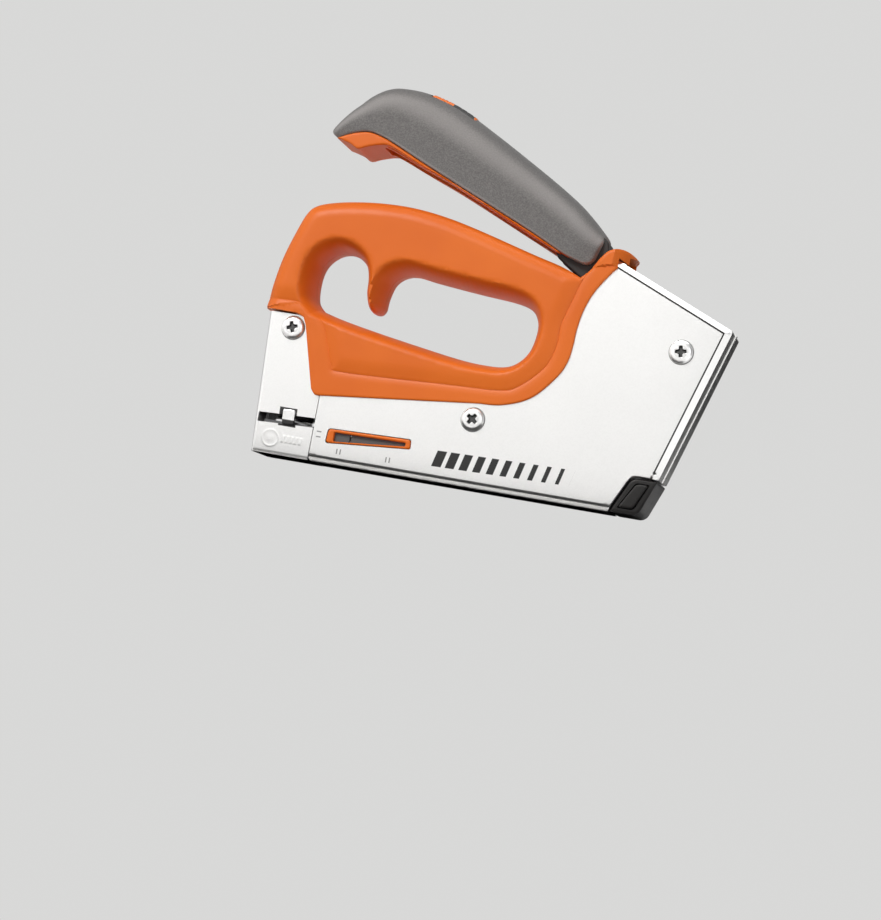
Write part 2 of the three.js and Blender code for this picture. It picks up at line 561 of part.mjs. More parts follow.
// ---------------------------------------------------------------- assembly
function build() {
  const tool = new THREE.Group();
  const add = (name, shape, material) => tool.add(part(name, shape, material));
  const pair = (name, shape, material) => {
    add(`${name}_left`, shape, material);
    add(`${name}_right`, mirrored(shape), material);
  };

  pair('housing', housingShell(), CHROME);
  pair('grip', gripHalf(), ORANGE);
  pair('window_bezel', windowBezel(), ORANGE);
  add('nose_cover', noseCover(), CHROME);
  add('nose_guide', noseGuide(), DARK_STEEL);
  add('nose_lug', noseLug(), CHROME);

  pair('nose_screw', panScrew(NOSE_SCREW, NOSE_HALF, 6.6), ZINC);
  const bodyScrewLength = 2 * BODY_HALF + 1.8;
  add('middle_screw', panScrew(FULCRUM, BODY_HALF, bodyScrewLength), ZINC);
  add('rear_screw', panScrew(REAR_POST, BODY_HALF, bodyScrewLength), ZINC);
  add('middle_nut', flangedNut(FULCRUM), ZINC);
  add('rear_nut', flangedNut(REAR_POST), ZINC);
  const inside = BODY_HALF - STEEL - 0.1;
  add('fulcrum_bush', tubeY(FULCRUM.x, FULCRUM.z, FULCRUM.r, SCREW_SHANK_R + GAP, -inside, inside), ZINC);
  add('rear_spacer', tubeY(REAR_POST.x, REAR_POST.z, REAR_POST.r, SCREW_SHANK_R + GAP, -inside, inside), ZINC);
  add('lever_pin', barY(PIVOT.x, PIVOT.z, PIVOT.r, -inside + 0.2, inside - 0.2), ZINC);

  const rivets = [[-32, 134.4], [4, 118.2]];
  add('lever_core', leverCore(rivets), ORANGE);
  add('lever_cover', leverCover(), GREY_SOFT);
  add('lever_badge', badgeBody(0), ORANGE);
  add('lever_boot', leverBoot(), BLACK);
  add('lever_fork', leverFork(rivets), DARK_STEEL);
  add('lever_roller', tubeY(ROLLER.x, ROLLER.z, ROLLER.r, 1.8, -2.6, 2.6), ZINC);
  add('roller_pin', barY(ROLLER.x, ROLLER.z, 1.5, -6, 6, 12), ZINC);
  rivets.forEach(([x, z], i) => add(`lever_rivet_${i + 1}`, barY(x, z, 2, -9.6, 9.6, 12), ZINC));

  add('cocking_lever', cockingLever(), DARK_STEEL);
  add('striker_carrier', strikerCarrier(), DARK_STEEL);
  add('striker_blade', strikerBlade(), SPRING_STEEL);
  const up = new THREE.Vector3(0, 0, 1);
  add('power_spring', coil(new THREE.Vector3(SPRING_X, 0, SPRING_LOW), up, SPRING_TOP - SPRING_LOW,
    SPRING_R - 0.8, 0.8, 9.5, 12, 6), SPRING_STEEL);
  add('spring_seat', barZ(SPRING_X, SPRING_R + 0.6, SPRING_TOP + 0.1, 88.2), ZINC);
  add('bumper', block([-82.6, -6, 17.6], [-76, 6, 19.4]), RUBBER);

  add('magazine_channel', magazineChannel(), ZINC);
  add('staple_rail', stapleRail(), ZINC);
  add('staple_strip', stapleStrip(), SPRING_STEEL);
  add('pusher', pusher(), ZINC);
  const pusherBack = STAPLE.back + GAP + 11;
  add('pusher_spring', coil(new THREE.Vector3(pusherBack + 0.4, 0, ROD_Z), new THREE.Vector3(1, 0, 0),
    57.8 - pusherBack - 0.4, 2.5, 0.35, 22, 8, 5), SPRING_STEEL);
  add('magazine_rod', barX(ROD_Z, 1.5, -84, 63.6), ZINC);
  add('magazine_cap', magazineCap(), BLACK);
  pair('catch', catchPad(), BLACK);
  return tool;
}

export default build();
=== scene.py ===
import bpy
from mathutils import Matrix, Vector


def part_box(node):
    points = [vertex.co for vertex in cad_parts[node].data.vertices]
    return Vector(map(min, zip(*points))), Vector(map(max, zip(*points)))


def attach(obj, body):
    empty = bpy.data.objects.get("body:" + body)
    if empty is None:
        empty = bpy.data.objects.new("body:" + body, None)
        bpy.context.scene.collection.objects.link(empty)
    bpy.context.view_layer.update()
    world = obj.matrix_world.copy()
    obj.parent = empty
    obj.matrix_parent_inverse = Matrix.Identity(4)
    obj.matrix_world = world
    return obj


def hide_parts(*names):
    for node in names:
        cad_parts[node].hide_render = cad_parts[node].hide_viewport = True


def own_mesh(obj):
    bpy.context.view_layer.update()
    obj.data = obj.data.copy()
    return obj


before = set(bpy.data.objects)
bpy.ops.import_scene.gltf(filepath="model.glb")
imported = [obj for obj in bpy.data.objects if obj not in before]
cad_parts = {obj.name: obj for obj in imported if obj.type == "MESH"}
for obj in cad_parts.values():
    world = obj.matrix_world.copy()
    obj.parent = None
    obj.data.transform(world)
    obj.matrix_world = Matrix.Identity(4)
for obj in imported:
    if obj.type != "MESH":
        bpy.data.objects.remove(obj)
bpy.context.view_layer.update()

import math

import bpy
import numpy as np
from mathutils import Matrix, Vector
from mathutils.geometry import delaunay_2d_cdt

MM = 0.001

# ---------------------------------------------------------------- camera
# The tool is seen from its left side, from a little behind and just below its base, with the nose
# tipped up to the left, through a long lens about a metre away.
AIM = Vector((-14.5, 0, 10.2)) * MM
DISTANCE = 1.0
FOCAL, SENSOR = 93.91, 36
SWING, RISE, ROLL = (math.radians(a) for a in (13.7, -4.05, 10.6))

back = Vector((math.sin(SWING) * math.cos(RISE), -math.cos(SWING) * math.cos(RISE), math.sin(RISE)))
sideways = Vector((0, 0, 1)).cross(back).normalized()
upright = back.cross(sideways)
across = math.cos(ROLL) * sideways + math.sin(ROLL) * upright
up = math.cos(ROLL) * upright - math.sin(ROLL) * sideways
lens = bpy.data.cameras.new("camera")
lens.sensor_width = SENSOR
lens.lens = FOCAL
lens.clip_start = 0.05
camera = bpy.data.objects.new("camera", lens)
bpy.context.scene.collection.objects.link(camera)
facing = Matrix((across, up, back)).transposed().to_4x4()
camera.matrix_world = Matrix.Translation(AIM + DISTANCE * back) @ facing
bpy.context.scene.camera = camera

# ---------------------------------------------------------------- plated steel housing
# Two pressed shells of 1.2 mm steel sheet, nickel-chrome plated, that meet on the middle plane.
# Each face steps down at a sharp crease to a bevelled rim, and the rim rolls over to the join.
BODY_HALF = 14.0
JOIN = 0.15                      # half the gap between left and right pieces
SHEET = 1.2
REAR_CORNER = (98.4, 80.3)
HIDDEN_EDGE = [(39.3, 92.8), (34.2, 81.7), (32.3, 71), (31.9, 64.6), (27.9, 51.7), (20, 42.8),
               (10, 38.6), (-9.6, 36.3)]
SCREW_AT = {"nose": (-84.3, 53.8), "middle": (-0.8, 27.8), "rear": (79, 68.4)}
SCREW_HOLE = 2.5
PIVOT = (49.5, 90.2)

def curve(points, steps=8):
    """A smooth line through the points: each stretch is a cubic, and its slope at a point is half the
    chord between that point's two neighbours."""
    p = np.array(points, float)
    a = np.vstack([p[:1], p, p[-1:]])
    p0, p1, p2, p3 = (a[i:len(a) - 3 + i, None] for i in range(4))
    t = np.arange(steps)[None, :, None] / steps
    s0, s1 = (p2 - p0) / 2, (p3 - p1) / 2
    q = (2 * p1 - 2 * p2 + s0 + s1) * t**3 + (3 * p2 - 3 * p1 - 2 * s0 - s1) * t**2 + s0 * t + p1
    return np.vstack([q.reshape(-1, 2), p[-1:]])

def ring(*stretches, step=0.7):
    """A closed outline from stretches put end to end, with its points spread evenly along it."""
    line = np.vstack(stretches)
    closed = np.vstack([line, line[:1]])
    run = np.r_[0, np.cumsum(np.linalg.norm(np.diff(closed, axis=0), axis=1))]
    count = max(8, int(round(run[-1] / step)))
    at = np.arange(count) * run[-1] / count
    return np.stack([np.interp(at, run, closed[:, k]) for k in (0, 1)], 1)

def rounded(corners, radius, step=0.5):
    """A closed outline whose corners are swept by a parabola that starts the radius before each."""
    p = np.array(corners, float)
    before, after = np.roll(p, 1, 0) - p, np.roll(p, -1, 0) - p
    r = np.broadcast_to(np.array(radius, float), len(p))
    reach = [np.minimum(r, 0.45 * np.linalg.norm(d, axis=1)) for d in (before, after)]
    short = np.minimum(*reach)[:, None]
    a, b = (p + d / np.linalg.norm(d, axis=1)[:, None] * short for d in (before, after))
    t = np.linspace(0, 1, 9)[None, :, None]
    bend = (1 - t)**2 * a[:, None] + 2 * t * (1 - t) * p[:, None] + t**2 * b[:, None]
    return ring(bend.reshape(-1, 2), step=step)

def circle(x, z, r, count=72):
    """A closed ring of points round (x, z)."""
    a = np.arange(count) * 2 * math.pi / count
    return np.stack([x + r * np.cos(a), z + r * np.sin(a)], 1)

def gap_to(points, line, closed=True):
    """Distance from each point to the nearest stretch of a line."""
    a, b = (line, np.roll(line, -1, 0)) if closed else (line[:-1], line[1:])
    d = b - a
    found = []
    for some in np.array_split(points, max(1, len(points) // 1500)):
        w = some[:, None] - a
        t = np.clip((w * d).sum(-1) / np.maximum((d * d).sum(-1), 1e-12), 0, 1)
        found.append(np.linalg.norm(w - t[..., None] * d, axis=-1).min(1))
    return np.concatenate(found)

def within(points, line):
    """True for a point inside a closed line, which a ray to the right crosses an odd number of times."""
    a, b = line, np.roll(line, -1, 0)
    x, z = points[:, :1], points[:, 1:]
    spans = (a[:, 1] > z) != (b[:, 1] > z)
    rise = np.where(a[:, 1] == b[:, 1], 1, b[:, 1] - a[:, 1])
    return (spans & (x < a[:, 0] + (z - a[:, 1]) * (b[:, 0] - a[:, 0]) / rise)).sum(1) % 2 == 1

def smooth(x, low, high):
    """0 below low, 1 above high, and an S-shaped rise between."""
    t = np.clip((x - low) / (high - low), 0, 1)
    return t * t * (3 - 2 * t)

def sheet(outer, holes=(), rows=(), step=None, lines=()):
    """Points and triangles that fill an outline less its holes. Rows of points run beside every edge
    and both sides of any extra lines, and a triangular lattice fills what is left."""
    edges = [outer, *holes]
    want, reach = [], []
    for line, closed in [(e, True) for e in edges] + [(e, False) for e in lines]:
        side = np.roll(line, -1, 0) - np.roll(line, 1, 0)
        if not closed:
            side[0], side[-1] = line[1] - line[0], line[-1] - line[-2]
        normal = np.stack([-side[:, 1], side[:, 0]], 1) / np.linalg.norm(side, axis=1)[:, None]
        for inset in rows:
            for way in (inset, -inset):
                want.append(line + way * normal)
                reach.append(np.full(len(line), inset if closed else 0.2))
    if step:
        low, high = outer.min(0), outer.max(0)
        x, z = np.meshgrid(np.arange(low[0], high[0], step), np.arange(low[1], high[1], step * 0.866))
        x = x + (np.arange(len(x)) % 2)[:, None] * step / 2
        lattice = np.stack([x.ravel(), z.ravel()], 1)
        far = (max(rows) if rows else 0) + 0.5 * step
        for line in lines:
            lattice = lattice[gap_to(lattice, line, False) > far]
        want.append(lattice)
        reach.append(np.full(len(lattice), far))
    points = np.vstack(edges)
    if want:
        fill, reach = np.vstack(want), np.concatenate(reach)
        fits = within(fill, outer)
        for hole in holes:
            fits &= ~within(fill, hole)
        fill, reach = fill[fits], reach[fits]
        clear = np.min([gap_to(fill, e) for e in edges], axis=0) > reach * 0.97
        points = np.vstack([points, fill[clear]])
    joins, first = [], 0
    for line in edges:
        n = len(line)
        joins += [(first + i, first + (i + 1) % n) for i in range(n)]
        first += n
    verts, _, faces, *_ = delaunay_2d_cdt([Vector(p) for p in points], joins, [], 0, 1e-6, False)
    points, faces = np.array(verts, float), np.array(faces)
    middle = points[faces].mean(1)
    fits = within(middle, outer)
    for hole in holes:
        fits &= ~within(middle, hole)
    faces = faces[fits]
    a, b, c = (points[faces[:, i]] for i in range(3))
    flat = np.cross(b - a, c - a)
    faces[flat < 0] = faces[flat < 0][:, ::-1]
    return points, faces

def make(name, points, faces):
    """A new piece from points in millimetres and faces that point outwards."""
    mesh = bpy.data.meshes.new(name)
    mesh.from_pydata((np.asarray(points, float) * MM).tolist(), [], np.asarray(faces).tolist())
    mesh.validate()
    piece = bpy.data.objects.new(name, mesh)
    bpy.context.scene.collection.objects.link(piece)
    return piece

def lift(name, flat, front, back):
    """A closed body over a flat sheet: the front lies front(points) to the left of the middle plane,
    the back lies back(points) to the left of it, and walls join them where the sheet ends."""
    points, faces = flat
    n = len(points)
    y = [-np.broadcast_to(f(points) if callable(f) else f, n) for f in (front, back)]
    both = np.vstack([np.stack([points[:, 0], side, points[:, 1]], 1) for side in y])
    edges = np.vstack([faces[:, [0, 1]], faces[:, [1, 2]], faces[:, [2, 0]]])
    rim = edges[~np.isin(edges[:, 0] * n + edges[:, 1], edges[:, 1] * n + edges[:, 0])]
    a, b = rim.T
    walls = np.vstack([np.stack([a, a + n, b + n], 1), np.stack([a, b + n, b], 1)])
    return make(name, both, np.vstack([faces, faces[:, ::-1] + n, walls]))

def prism(outline, low, high):
    """A straight-sided cutter over an outline, from low to high in Y."""
    return lift("cutter", sheet(outline), -low, -high)

def carve(piece, *cutters, how="DIFFERENCE"):
    """Cuts the cutters out of a piece, or joins them to it, and keeps the result as its mesh."""
    for cutter in cutters:
        step = piece.modifiers.new("cut", "BOOLEAN")
        step.object, step.operation, step.solver = cutter, how, "MANIFOLD"
    done = bpy.data.meshes.new_from_object(piece.evaluated_get(bpy.context.evaluated_depsgraph_get()))
    piece.modifiers.clear()
    done.materials.clear()
    piece.data = done
    for cutter in cutters:
        bpy.data.objects.remove(cutter)
    return piece

def shade(piece, sharp=32):
    """Smooth shading, with a crease wherever the surface turns by more than the given angle."""
    piece.data.shade_smooth()
    piece.data.set_sharp_from_angle(angle=math.radians(sharp))
    even = piece.modifiers.new("even", "WEIGHTED_NORMAL")
    even.keep_sharp = True
    even.weight = 80

def other_side(piece, name):
    """The right-hand twin of a left-hand piece."""
    mesh = piece.data.copy()
    mesh.name = name
    mesh.transform(Matrix.Scale(-1, 4, (0, 1, 0)))
    mesh.flip_normals()
    twin = bpy.data.objects.new(name, mesh)
    bpy.context.scene.collection.objects.link(twin)
    return twin

def rolled(depth, radius):
    """How far a rounded edge has fallen at a depth inside the outline: a quarter circle."""
    short = np.clip(radius - depth, 0, radius)
    return radius - np.sqrt(np.maximum(radius**2 - short**2, 0))

housing_line = ring([(-67, 0), (60.6, 0), (66.6, 12.8)],
                    curve([(66.6, 12.8), (67.5, 14.8), (69.4, 15.6), (71.5, 15.7)]),
                    [(79.2, 15.8), REAR_CORNER, (46, 102.7)], curve(HIDDEN_EDGE), [(-67, 30.5)], step=0.8)
CREASE_AT, CREASE_DEEP, CREASE_WIDE = 3.1, 0.35, 0.3
BEVEL_FALL, RIM_ROLL, LOW_ROLL, NOTCH_ROLL = 1.5, 1.1, 2.9, 0.6
LOW_EDGE = np.array([(-67, 0), (60.6, 0)], float)
REAR_EDGES = np.array([(79.2, 15.8), REAR_CORNER, (46, 102.7)])
NOTCH = np.array([(60.6, 0), (66.6, 12.8), (68.4, 15.3), (71.5, 15.7), (79.2, 15.8)])

def crease_line_at(points):
    """1 along the narrow crease that parts the face from its bevelled rim, 0 away from it: a bell curve
    of the distance to the rear edges."""
    d = gap_to(points, REAR_EDGES, False)
    return np.exp(-((d - CREASE_AT) / CREASE_WIDE)**2)

def housing_face(points):
    """Flat face, a crease where the bevel starts, a bevel sloping outward, then the rolled rim. The lower
    edge is one large roll, and the edges under the nose and the grip stay flat."""
    d = gap_to(points, REAR_EDGES, False)
    bevel = BEVEL_FALL * np.clip((CREASE_AT - 0.35 - d) / (CREASE_AT - 1.2), 0, 1)
    rim = bevel + CREASE_DEEP * crease_line_at(points) + rolled(d, RIM_ROLL)
    low = rolled(gap_to(points, LOW_EDGE, False), LOW_ROLL)
    notch = rolled(gap_to(points, NOTCH, False), NOTCH_ROLL)
    return BODY_HALF - np.maximum(rim, np.maximum(low, notch))

window_line = rounded([(-61.2, 8.1), (-24.4, 11.3), (-24.8, 15.6), (-60.8, 14.6)], (1.5, 1, 1, 1.5), 0.4)
holes = [window_line] + [circle(*SCREW_AT[k], SCREW_HOLE, 32) for k in ("middle", "rear")]
crease_rows = (2.75, 2.88, 2.98, CREASE_AT, 3.22, 3.32, 3.45, 3.8)
steel = sheet(housing_line, holes, rows=(0.12, 0.4, 0.8, 1.2, 1.8, 2.5, *crease_rows), step=3.2)
housing = lift("housing_shell_left", steel, housing_face, JOIN)
cavity = ring([(-90, SHEET), (59.4, SHEET), (66, 17), (78, 17), (96.6, 79.6), (46, 101.2), (30, 112),
               (-90, 112)])
magazine_way = ring([(-80, -1), (84, -1), (84, 14.8), (-80, 14.8)])
collar_notch = ring([(20, 80), (54.3, 80), (54.3, 120), (20, 120)])
behind_seam = ring([(78.9, 15.9), (97.97, 80.05), (50, 100.6), (50, 104), (101, 84), (101, 78), (82, 12)])
carve(housing, prism(cavity, 2 * SHEET - BODY_HALF, 1), prism(magazine_way, -7.2, 1),
      prism(collar_notch, -9.4, 1), prism(behind_seam, -13.3, -1.3))

def in_side_view(piece):
    """The X and Z of every point of a piece's mesh, in millimetres."""
    return np.array([v.co for v in piece.data.vertices])[:, [0, 2]] / MM

def keep_on_points(piece, name, values):
    """Stores one number for each point of a piece, for its material to read."""
    piece.data.attributes.new(name, "FLOAT", "POINT").data.foreach_set("value", values)

# the crease line is kept on the housing's points so that the plate can paint shade along it
keep_on_points(housing, "crease", crease_line_at(in_side_view(housing)))
right_housing = other_side(housing, "housing_shell_right")

class Value:
    """A number or colour that varies over a surface, so that shader sums can be written as sums."""

    def __init__(self, paint, socket):
        self.paint, self.socket = paint, socket

    def _sum(self, how, a, b):
        """One Math node."""
        return self.paint.node("ShaderNodeMath", {"operation": how}, {0: a, 1: b})

    def __add__(self, other):
        return self._sum("ADD", self, other)

    def __radd__(self, other):
        return self._sum("ADD", other, self)

    def __sub__(self, other):
        return self._sum("SUBTRACT", self, other)

    def __rsub__(self, other):
        return self._sum("SUBTRACT", other, self)

    def __mul__(self, other):
        return self._sum("MULTIPLY", self, other)

    def __rmul__(self, other):
        return self._sum("MULTIPLY", other, self)

    def least(self, other):
        """The smaller of the two."""
        return self._sum("MINIMUM", self, other)

    def most(self, other):
        """The larger of the two."""
        return self._sum("MAXIMUM", self, other)

    def size(self):
        """The value without its sign."""
        return self._sum("ABSOLUTE", self, 0)

    def wrap(self, period):
        """What is left over after whole periods."""
        return self._sum("FLOORED_MODULO", self, period)

    def rise(self, low, high):
        """0 below low, 1 above high, smooth between."""
        return self.paint.node("ShaderNodeMapRange", {"interpolation_type": "SMOOTHSTEP"},
                               {"Value": self, "From Min": low, "From Max": high})

    def part(self, name):
        """Another output of the same node."""
        return Value(self.paint, self.socket.node.outputs[name])

class Paint:
    """A material, its Principled shader, and the point it is worked out at, in millimetres."""

    def __init__(self, name, **constants):
        self.material = bpy.data.materials.new(name)
        self.material.use_nodes = True
        self.tree = self.material.node_tree
        self.shader = self.tree.nodes["Principled BSDF"]
        for key, value in constants.items():
            self.shader.inputs[key.replace("_", " ")].default_value = value
        self.spot = self.node("ShaderNodeTexCoord", {}, {}).part("Object")

    def node(self, kind, settings, inputs, result=0):
        """One node with its settings made first, then its sockets given values or links."""
        node = self.tree.nodes.new(kind)
        for key, value in settings.items():
            setattr(node, key, value)
        for key, value in inputs.items():
            if isinstance(value, Value):
                self.tree.links.new(value.socket, node.inputs[key])
            else:
                node.inputs[key].default_value = value
        return Value(self, node.outputs[result])

    def axes(self):
        """The three coordinates in millimetres."""
        split = self.node("ShaderNodeSeparateXYZ", {}, {0: self.spot})
        return [split.part(k) * 1000 for k in "XYZ"]

    def noise(self, per_metre, detail=2.0, rough=0.5, stretch=(1, 1, 1)):
        """Cloudy noise with about this many clouds to the metre."""
        place = self.node("ShaderNodeMapping", {}, {"Vector": self.spot, "Scale": stretch})
        return self.node("ShaderNodeTexNoise", {}, {"Vector": place, "Scale": per_metre, "Detail": detail,
                                                     "Roughness": rough})

    def mix(self, amount, a, b):
        """Colour a where the amount is 0, colour b where it is 1."""
        return self.node("ShaderNodeMix", {"data_type": "RGBA"}, {0: amount, 6: a, 7: b}, 2)

    def stored(self, name):
        """A number that the mesh keeps for each of its points."""
        return self.node("ShaderNodeAttribute", {"attribute_name": name}, {}).part("Fac")

    def into(self, **sockets):
        """Links values to the shader's sockets."""
        for key, value in sockets.items():
            self.tree.links.new(value.socket, self.shader.inputs[key.replace("_", " ")])

    def relief(self, height, depth_mm):
        """A normal that follows a height of this depth."""
        inputs = {"Height": height, "Strength": 1.0, "Distance": depth_mm * MM}
        return self.node("ShaderNodeBump", {}, inputs)

PLATE_TONES = ((0.84, 0.836, 0.83, 1), (0.88, 0.876, 0.87, 1))
PLATE_GRAIN = (0.70, 0.696, 0.69, 1)
# black for print and for painted shade on the plate
PRINT_AND_SHADE_BLACK = (0.012, 0.011, 0.011, 1)

def plated(name, marks=None, heads=(), shaded_crease=False, shadow_frame_at=None):
    """Bright plate over pressed steel with a fine even grain, a slow drift of tone, and painted shade in
    the crease, and painted shadow round the screw heads and round the cross bar's end at the given point.
    marks is a mask of dark print or of painted shadow, and None leaves the sheet plain."""
    p = Paint(name)
    drift = p.noise(14, 2, 0.5)
    grain = p.noise(1400, 1, 0.5)
    tint = p.mix(drift.rise(0.3, 0.7), *PLATE_TONES)
    tint = p.mix(grain.rise(0.35, 0.7) * 0.12, tint, PLATE_GRAIN)
    x, y, z = p.axes()
    dark = 0 * x
    # painted shadow: a dark ring on the plate round each listed screw head
    for at in heads:
        off, rise = x - SCREW_AT[at][0], z - SCREW_AT[at][1]
        square = off * off + rise * rise
        dark = dark + 0.75 * square.rise(22.5, 23.5) * (1 - square.rise(25.5, 28.0))
    # painted shade: a dark line along the housing's crease
    if shaded_crease:
        dark = dark + p.stored("crease").rise(0.15, 0.55)
    # painted shadow: a dark frame on the nose plate round the cross bar's end
    if shadow_frame_at:
        across, rise = (x - shadow_frame_at[0] + 0.07 * z).size() - 3.6, (z - shadow_frame_at[1]).size() - 3.7
        dark = dark + (1 - across.most(rise).rise(0.1, 0.4)) * (1 - y.size().rise(13.1, 13.3))
    if marks:
        dark = dark + marks(p)
    # print and painted shade together give the black, dull, unmetallic patches
    print_and_shade = dark.least(1)
    p.into(Base_Color=p.mix(print_and_shade, tint, PRINT_AND_SHADE_BLACK), Roughness=0.27 + 0.03 * grain + print_and_shade * 0.3, Metallic=1 - print_and_shade,
           Normal=p.relief(grain, 0.0004))
    return p.material

ROW_FROM, ROW_LONG, BAR_PITCH = -14.6, 58, 5.8

def side_print(p):
    """Plain print on the left face: a row of leaning bars that get narrower towards the rear, a pair of
    short level lines by the window's front end, and two small groups of ticks under the window."""
    x, y, z = p.axes()
    base = 6.1 + 0.022 * (x - ROW_FROM)
    lean = x - 0.24 * (z - base)
    width = 0.74 - 0.5 * ((lean - ROW_FROM) * (1 / ROW_LONG))
    inside = lean.rise(ROW_FROM - 0.1, ROW_FROM + 0.1) * (1 - lean.rise(43.3, 43.5))
    bars = 1 - ((lean - ROW_FROM).wrap(BAR_PITCH) * (1 / BAR_PITCH) - width).rise(-0.02, 0.02)
    tall = (z - base).rise(-0.1, 0.1) * (1 - (z - base).rise(6.6, 6.8))
    row = bars * inside * tall

    def block(x0, x1, z0, z1):
        """1 inside a small upright oblong."""
        wide = (x - (x0 + x1) / 2).size() - (x1 - x0) / 2
        high = (z - (z0 + z1) / 2).size() - (z1 - z0) / 2
        return wide.rise(0.12, -0.12) * high.rise(0.12, -0.12)

    ticks = block(-65.4, -63.4, 12.2, 12.7) + block(-65.4, -63.4, 10.0, 10.5)
    for start in (-55.6, -34.2):
        ticks = ticks + block(start, start + 0.5, 4.4, 6.6) + block(start + 1.5, start + 2.0, 4.4, 6.6)
    outer_face = 1 - y.rise(-13.9, -13.7)
    return (row + ticks * 0.7) * outer_face

for piece, node, marks in ((housing, "housing_left", side_print), (right_housing, "housing_right", None)):
    shade(piece, 24)
    piece.data.materials.append(plated("plate_" + node, marks, ("middle", "rear"), True))
    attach(piece, "frame")
    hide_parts(node)

# ---------------------------------------------------------------- nose
# One U of the same plated sheet wraps round the front of the tool. A slot across it near the foot
# shows the blackened guide block, and a plated cross bar locks the block into the slot.
NOSE_HALF = 13.0
NOSE_TOP = 59.5
NOSE_LEAN = (92.8 - 95.9) / NOSE_TOP
NOSE_CORNER = 2.0
NOSE_FRONT, NOSE_REAR = -92.8, -67.6
NOSE_STEP_UP = 27                # where the rear edge starts to slant forward
RING_AT = (-85.2, 6.6)

def shell(name, outer, inner):
    """A closed body between two grids of points, with a strip round the rim."""
    m, n = outer.shape[:2]
    at = np.arange(m * n).reshape(m, n)
    a, b, c, d = at[:-1, :-1].ravel(), at[1:, :-1].ravel(), at[1:, 1:].ravel(), at[:-1, 1:].ravel()
    faces = np.stack([a, b, c, d], 1)
    rim = np.r_[at[:-1, 0], at[-1, :-1], at[:0:-1, -1], at[0, :0:-1]]
    after = np.roll(rim, -1)
    strip = np.stack([after, rim, rim + m * n, after + m * n], 1)
    points = np.vstack([outer.reshape(-1, 3), inner.reshape(-1, 3)])
    return make(name, points, np.vstack([faces, faces[:, ::-1] + m * n, strip]))

def skin(name, grid, thick):
    """A closed sheet-metal body: a grid of points, and the same grid moved in along its normals by the
    sheet's thickness."""
    normal = np.cross(np.gradient(grid, axis=0), np.gradient(grid, axis=1))
    normal /= np.linalg.norm(normal, axis=-1)[..., None]
    return shell(name, grid, grid - thick * normal)

level_z = np.r_[np.arange(0, 14, 0.3), np.arange(14, NOSE_TOP, 0.7), NOSE_TOP]
turn = np.linspace(0, math.pi / 2, 10)
side_run = np.linspace(0, 1, 110)
front_x = NOSE_FRONT + NOSE_LEAN * level_z
slant = 10.8 * (level_z - NOSE_STEP_UP) / (NOSE_TOP - NOSE_STEP_UP)
rear_x = np.where(level_z < NOSE_STEP_UP, NOSE_REAR, NOSE_REAR - slant)

def nose_path(front, rear):
    """Half of the U at every level: from the rear edge forward, round the corner, to the middle."""
    straight = rear[:, None] + (front + NOSE_CORNER - rear)[:, None] * side_run
    bend_x = (front + NOSE_CORNER)[:, None] - NOSE_CORNER * np.sin(turn[1:])
    middle = np.repeat(front[:, None], 6, 1)
    x = np.hstack([straight, bend_x, middle])
    bend_y = NOSE_HALF - NOSE_CORNER + NOSE_CORNER * np.cos(turn[1:])
    y = np.r_[np.full(len(side_run), NOSE_HALF), bend_y, np.linspace(NOSE_HALF - NOSE_CORNER, 0, 7)[1:]]
    return x, -np.repeat(y[None], len(front), 0)

nose_x, plain_y = nose_path(front_x, rear_x)
nose_z = np.repeat(level_z[:, None], nose_x.shape[1], 1)

# a raised ring with a round pip in it, and five short leaning bars behind it
from_ring = np.hypot(nose_x - RING_AT[0], nose_z - RING_AT[1])
emboss = np.exp(-((from_ring - 3.4) / 0.4)**2) + 0.7 * np.clip(1 - (from_ring / 1.8)**2, 0, 1)
for k in range(5):
    off = np.abs(nose_x - (-79.6 + 1.9 * k) - 0.2 * (nose_z - 7))
    emboss = emboss + smooth(0.9 - off, 0, 0.5) * smooth(1.7 - np.abs(nose_z - 7), 0, 0.5)
flat_side = (nose_x > front_x[:, None] + NOSE_CORNER) & (plain_y < 1 - NOSE_HALF)
nose_y = plain_y - np.where(flat_side, 0.06 * np.clip(emboss, 0, 1), 0)
half = np.stack([nose_x, nose_y, nose_z], -1)
whole = np.concatenate([half, (half * (1, -1, 1))[:, -2::-1]], 1)
nose = skin("nose_cover_plate", whole, SHEET)
slot_line = rounded([(-92.2, 12.7), (-60, 14), (-60, 18), (-92.2, 16.8)], 0.4)
carve(nose, prism(slot_line, -20, 20), prism(circle(*SCREW_AT["nose"], SCREW_HOLE, 32), -20, 20))
shade(nose, 28)
nose.data.materials.append(plated("plate_nose", None, ("nose",), False, (-78.2, 16.3)))
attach(nose, "frame")
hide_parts("nose_cover")

def slab(name, outline, half, edge, step=2.0):
    """A plate between -half and +half in Y, with the rims of both faces rounded to a quarter circle."""
    fall = edge * (1 - np.cos(np.linspace(0, math.pi / 2, 6)))[1:]
    flat = sheet(outline, rows=tuple(fall), step=step)

    def face(points):
        return half - rolled(gap_to(points, outline), edge)
    return lift(name, flat, face, lambda points: -face(points))

def slide(piece, y):
    """Moves a piece's mesh along Y."""
    piece.data.transform(Matrix.Translation((0, y * MM, 0)))
    return piece

EAR_MIDDLE, EAR_HALF = 13.35, 0.75
bar_line = rounded([(-81.4, 13.9), (-77.4, 13.9), (-77.4, 16.4), (-81.4, 16.4)], 0.3)
ear_line = rounded([(-81.2, 13.1), (-76, 13.3), (-76.4, 19.6), (-81.6, 19.4)], 0.8, 0.25)
lug = slab("nose_lug_bar", bar_line, 12.6, 0.2)
ears = [slide(slab("ear", ear_line, EAR_HALF, 0.3, step=0.7), way * EAR_MIDDLE) for way in (-1, 1)]
carve(lug, *ears, how="UNION")
shade(lug)

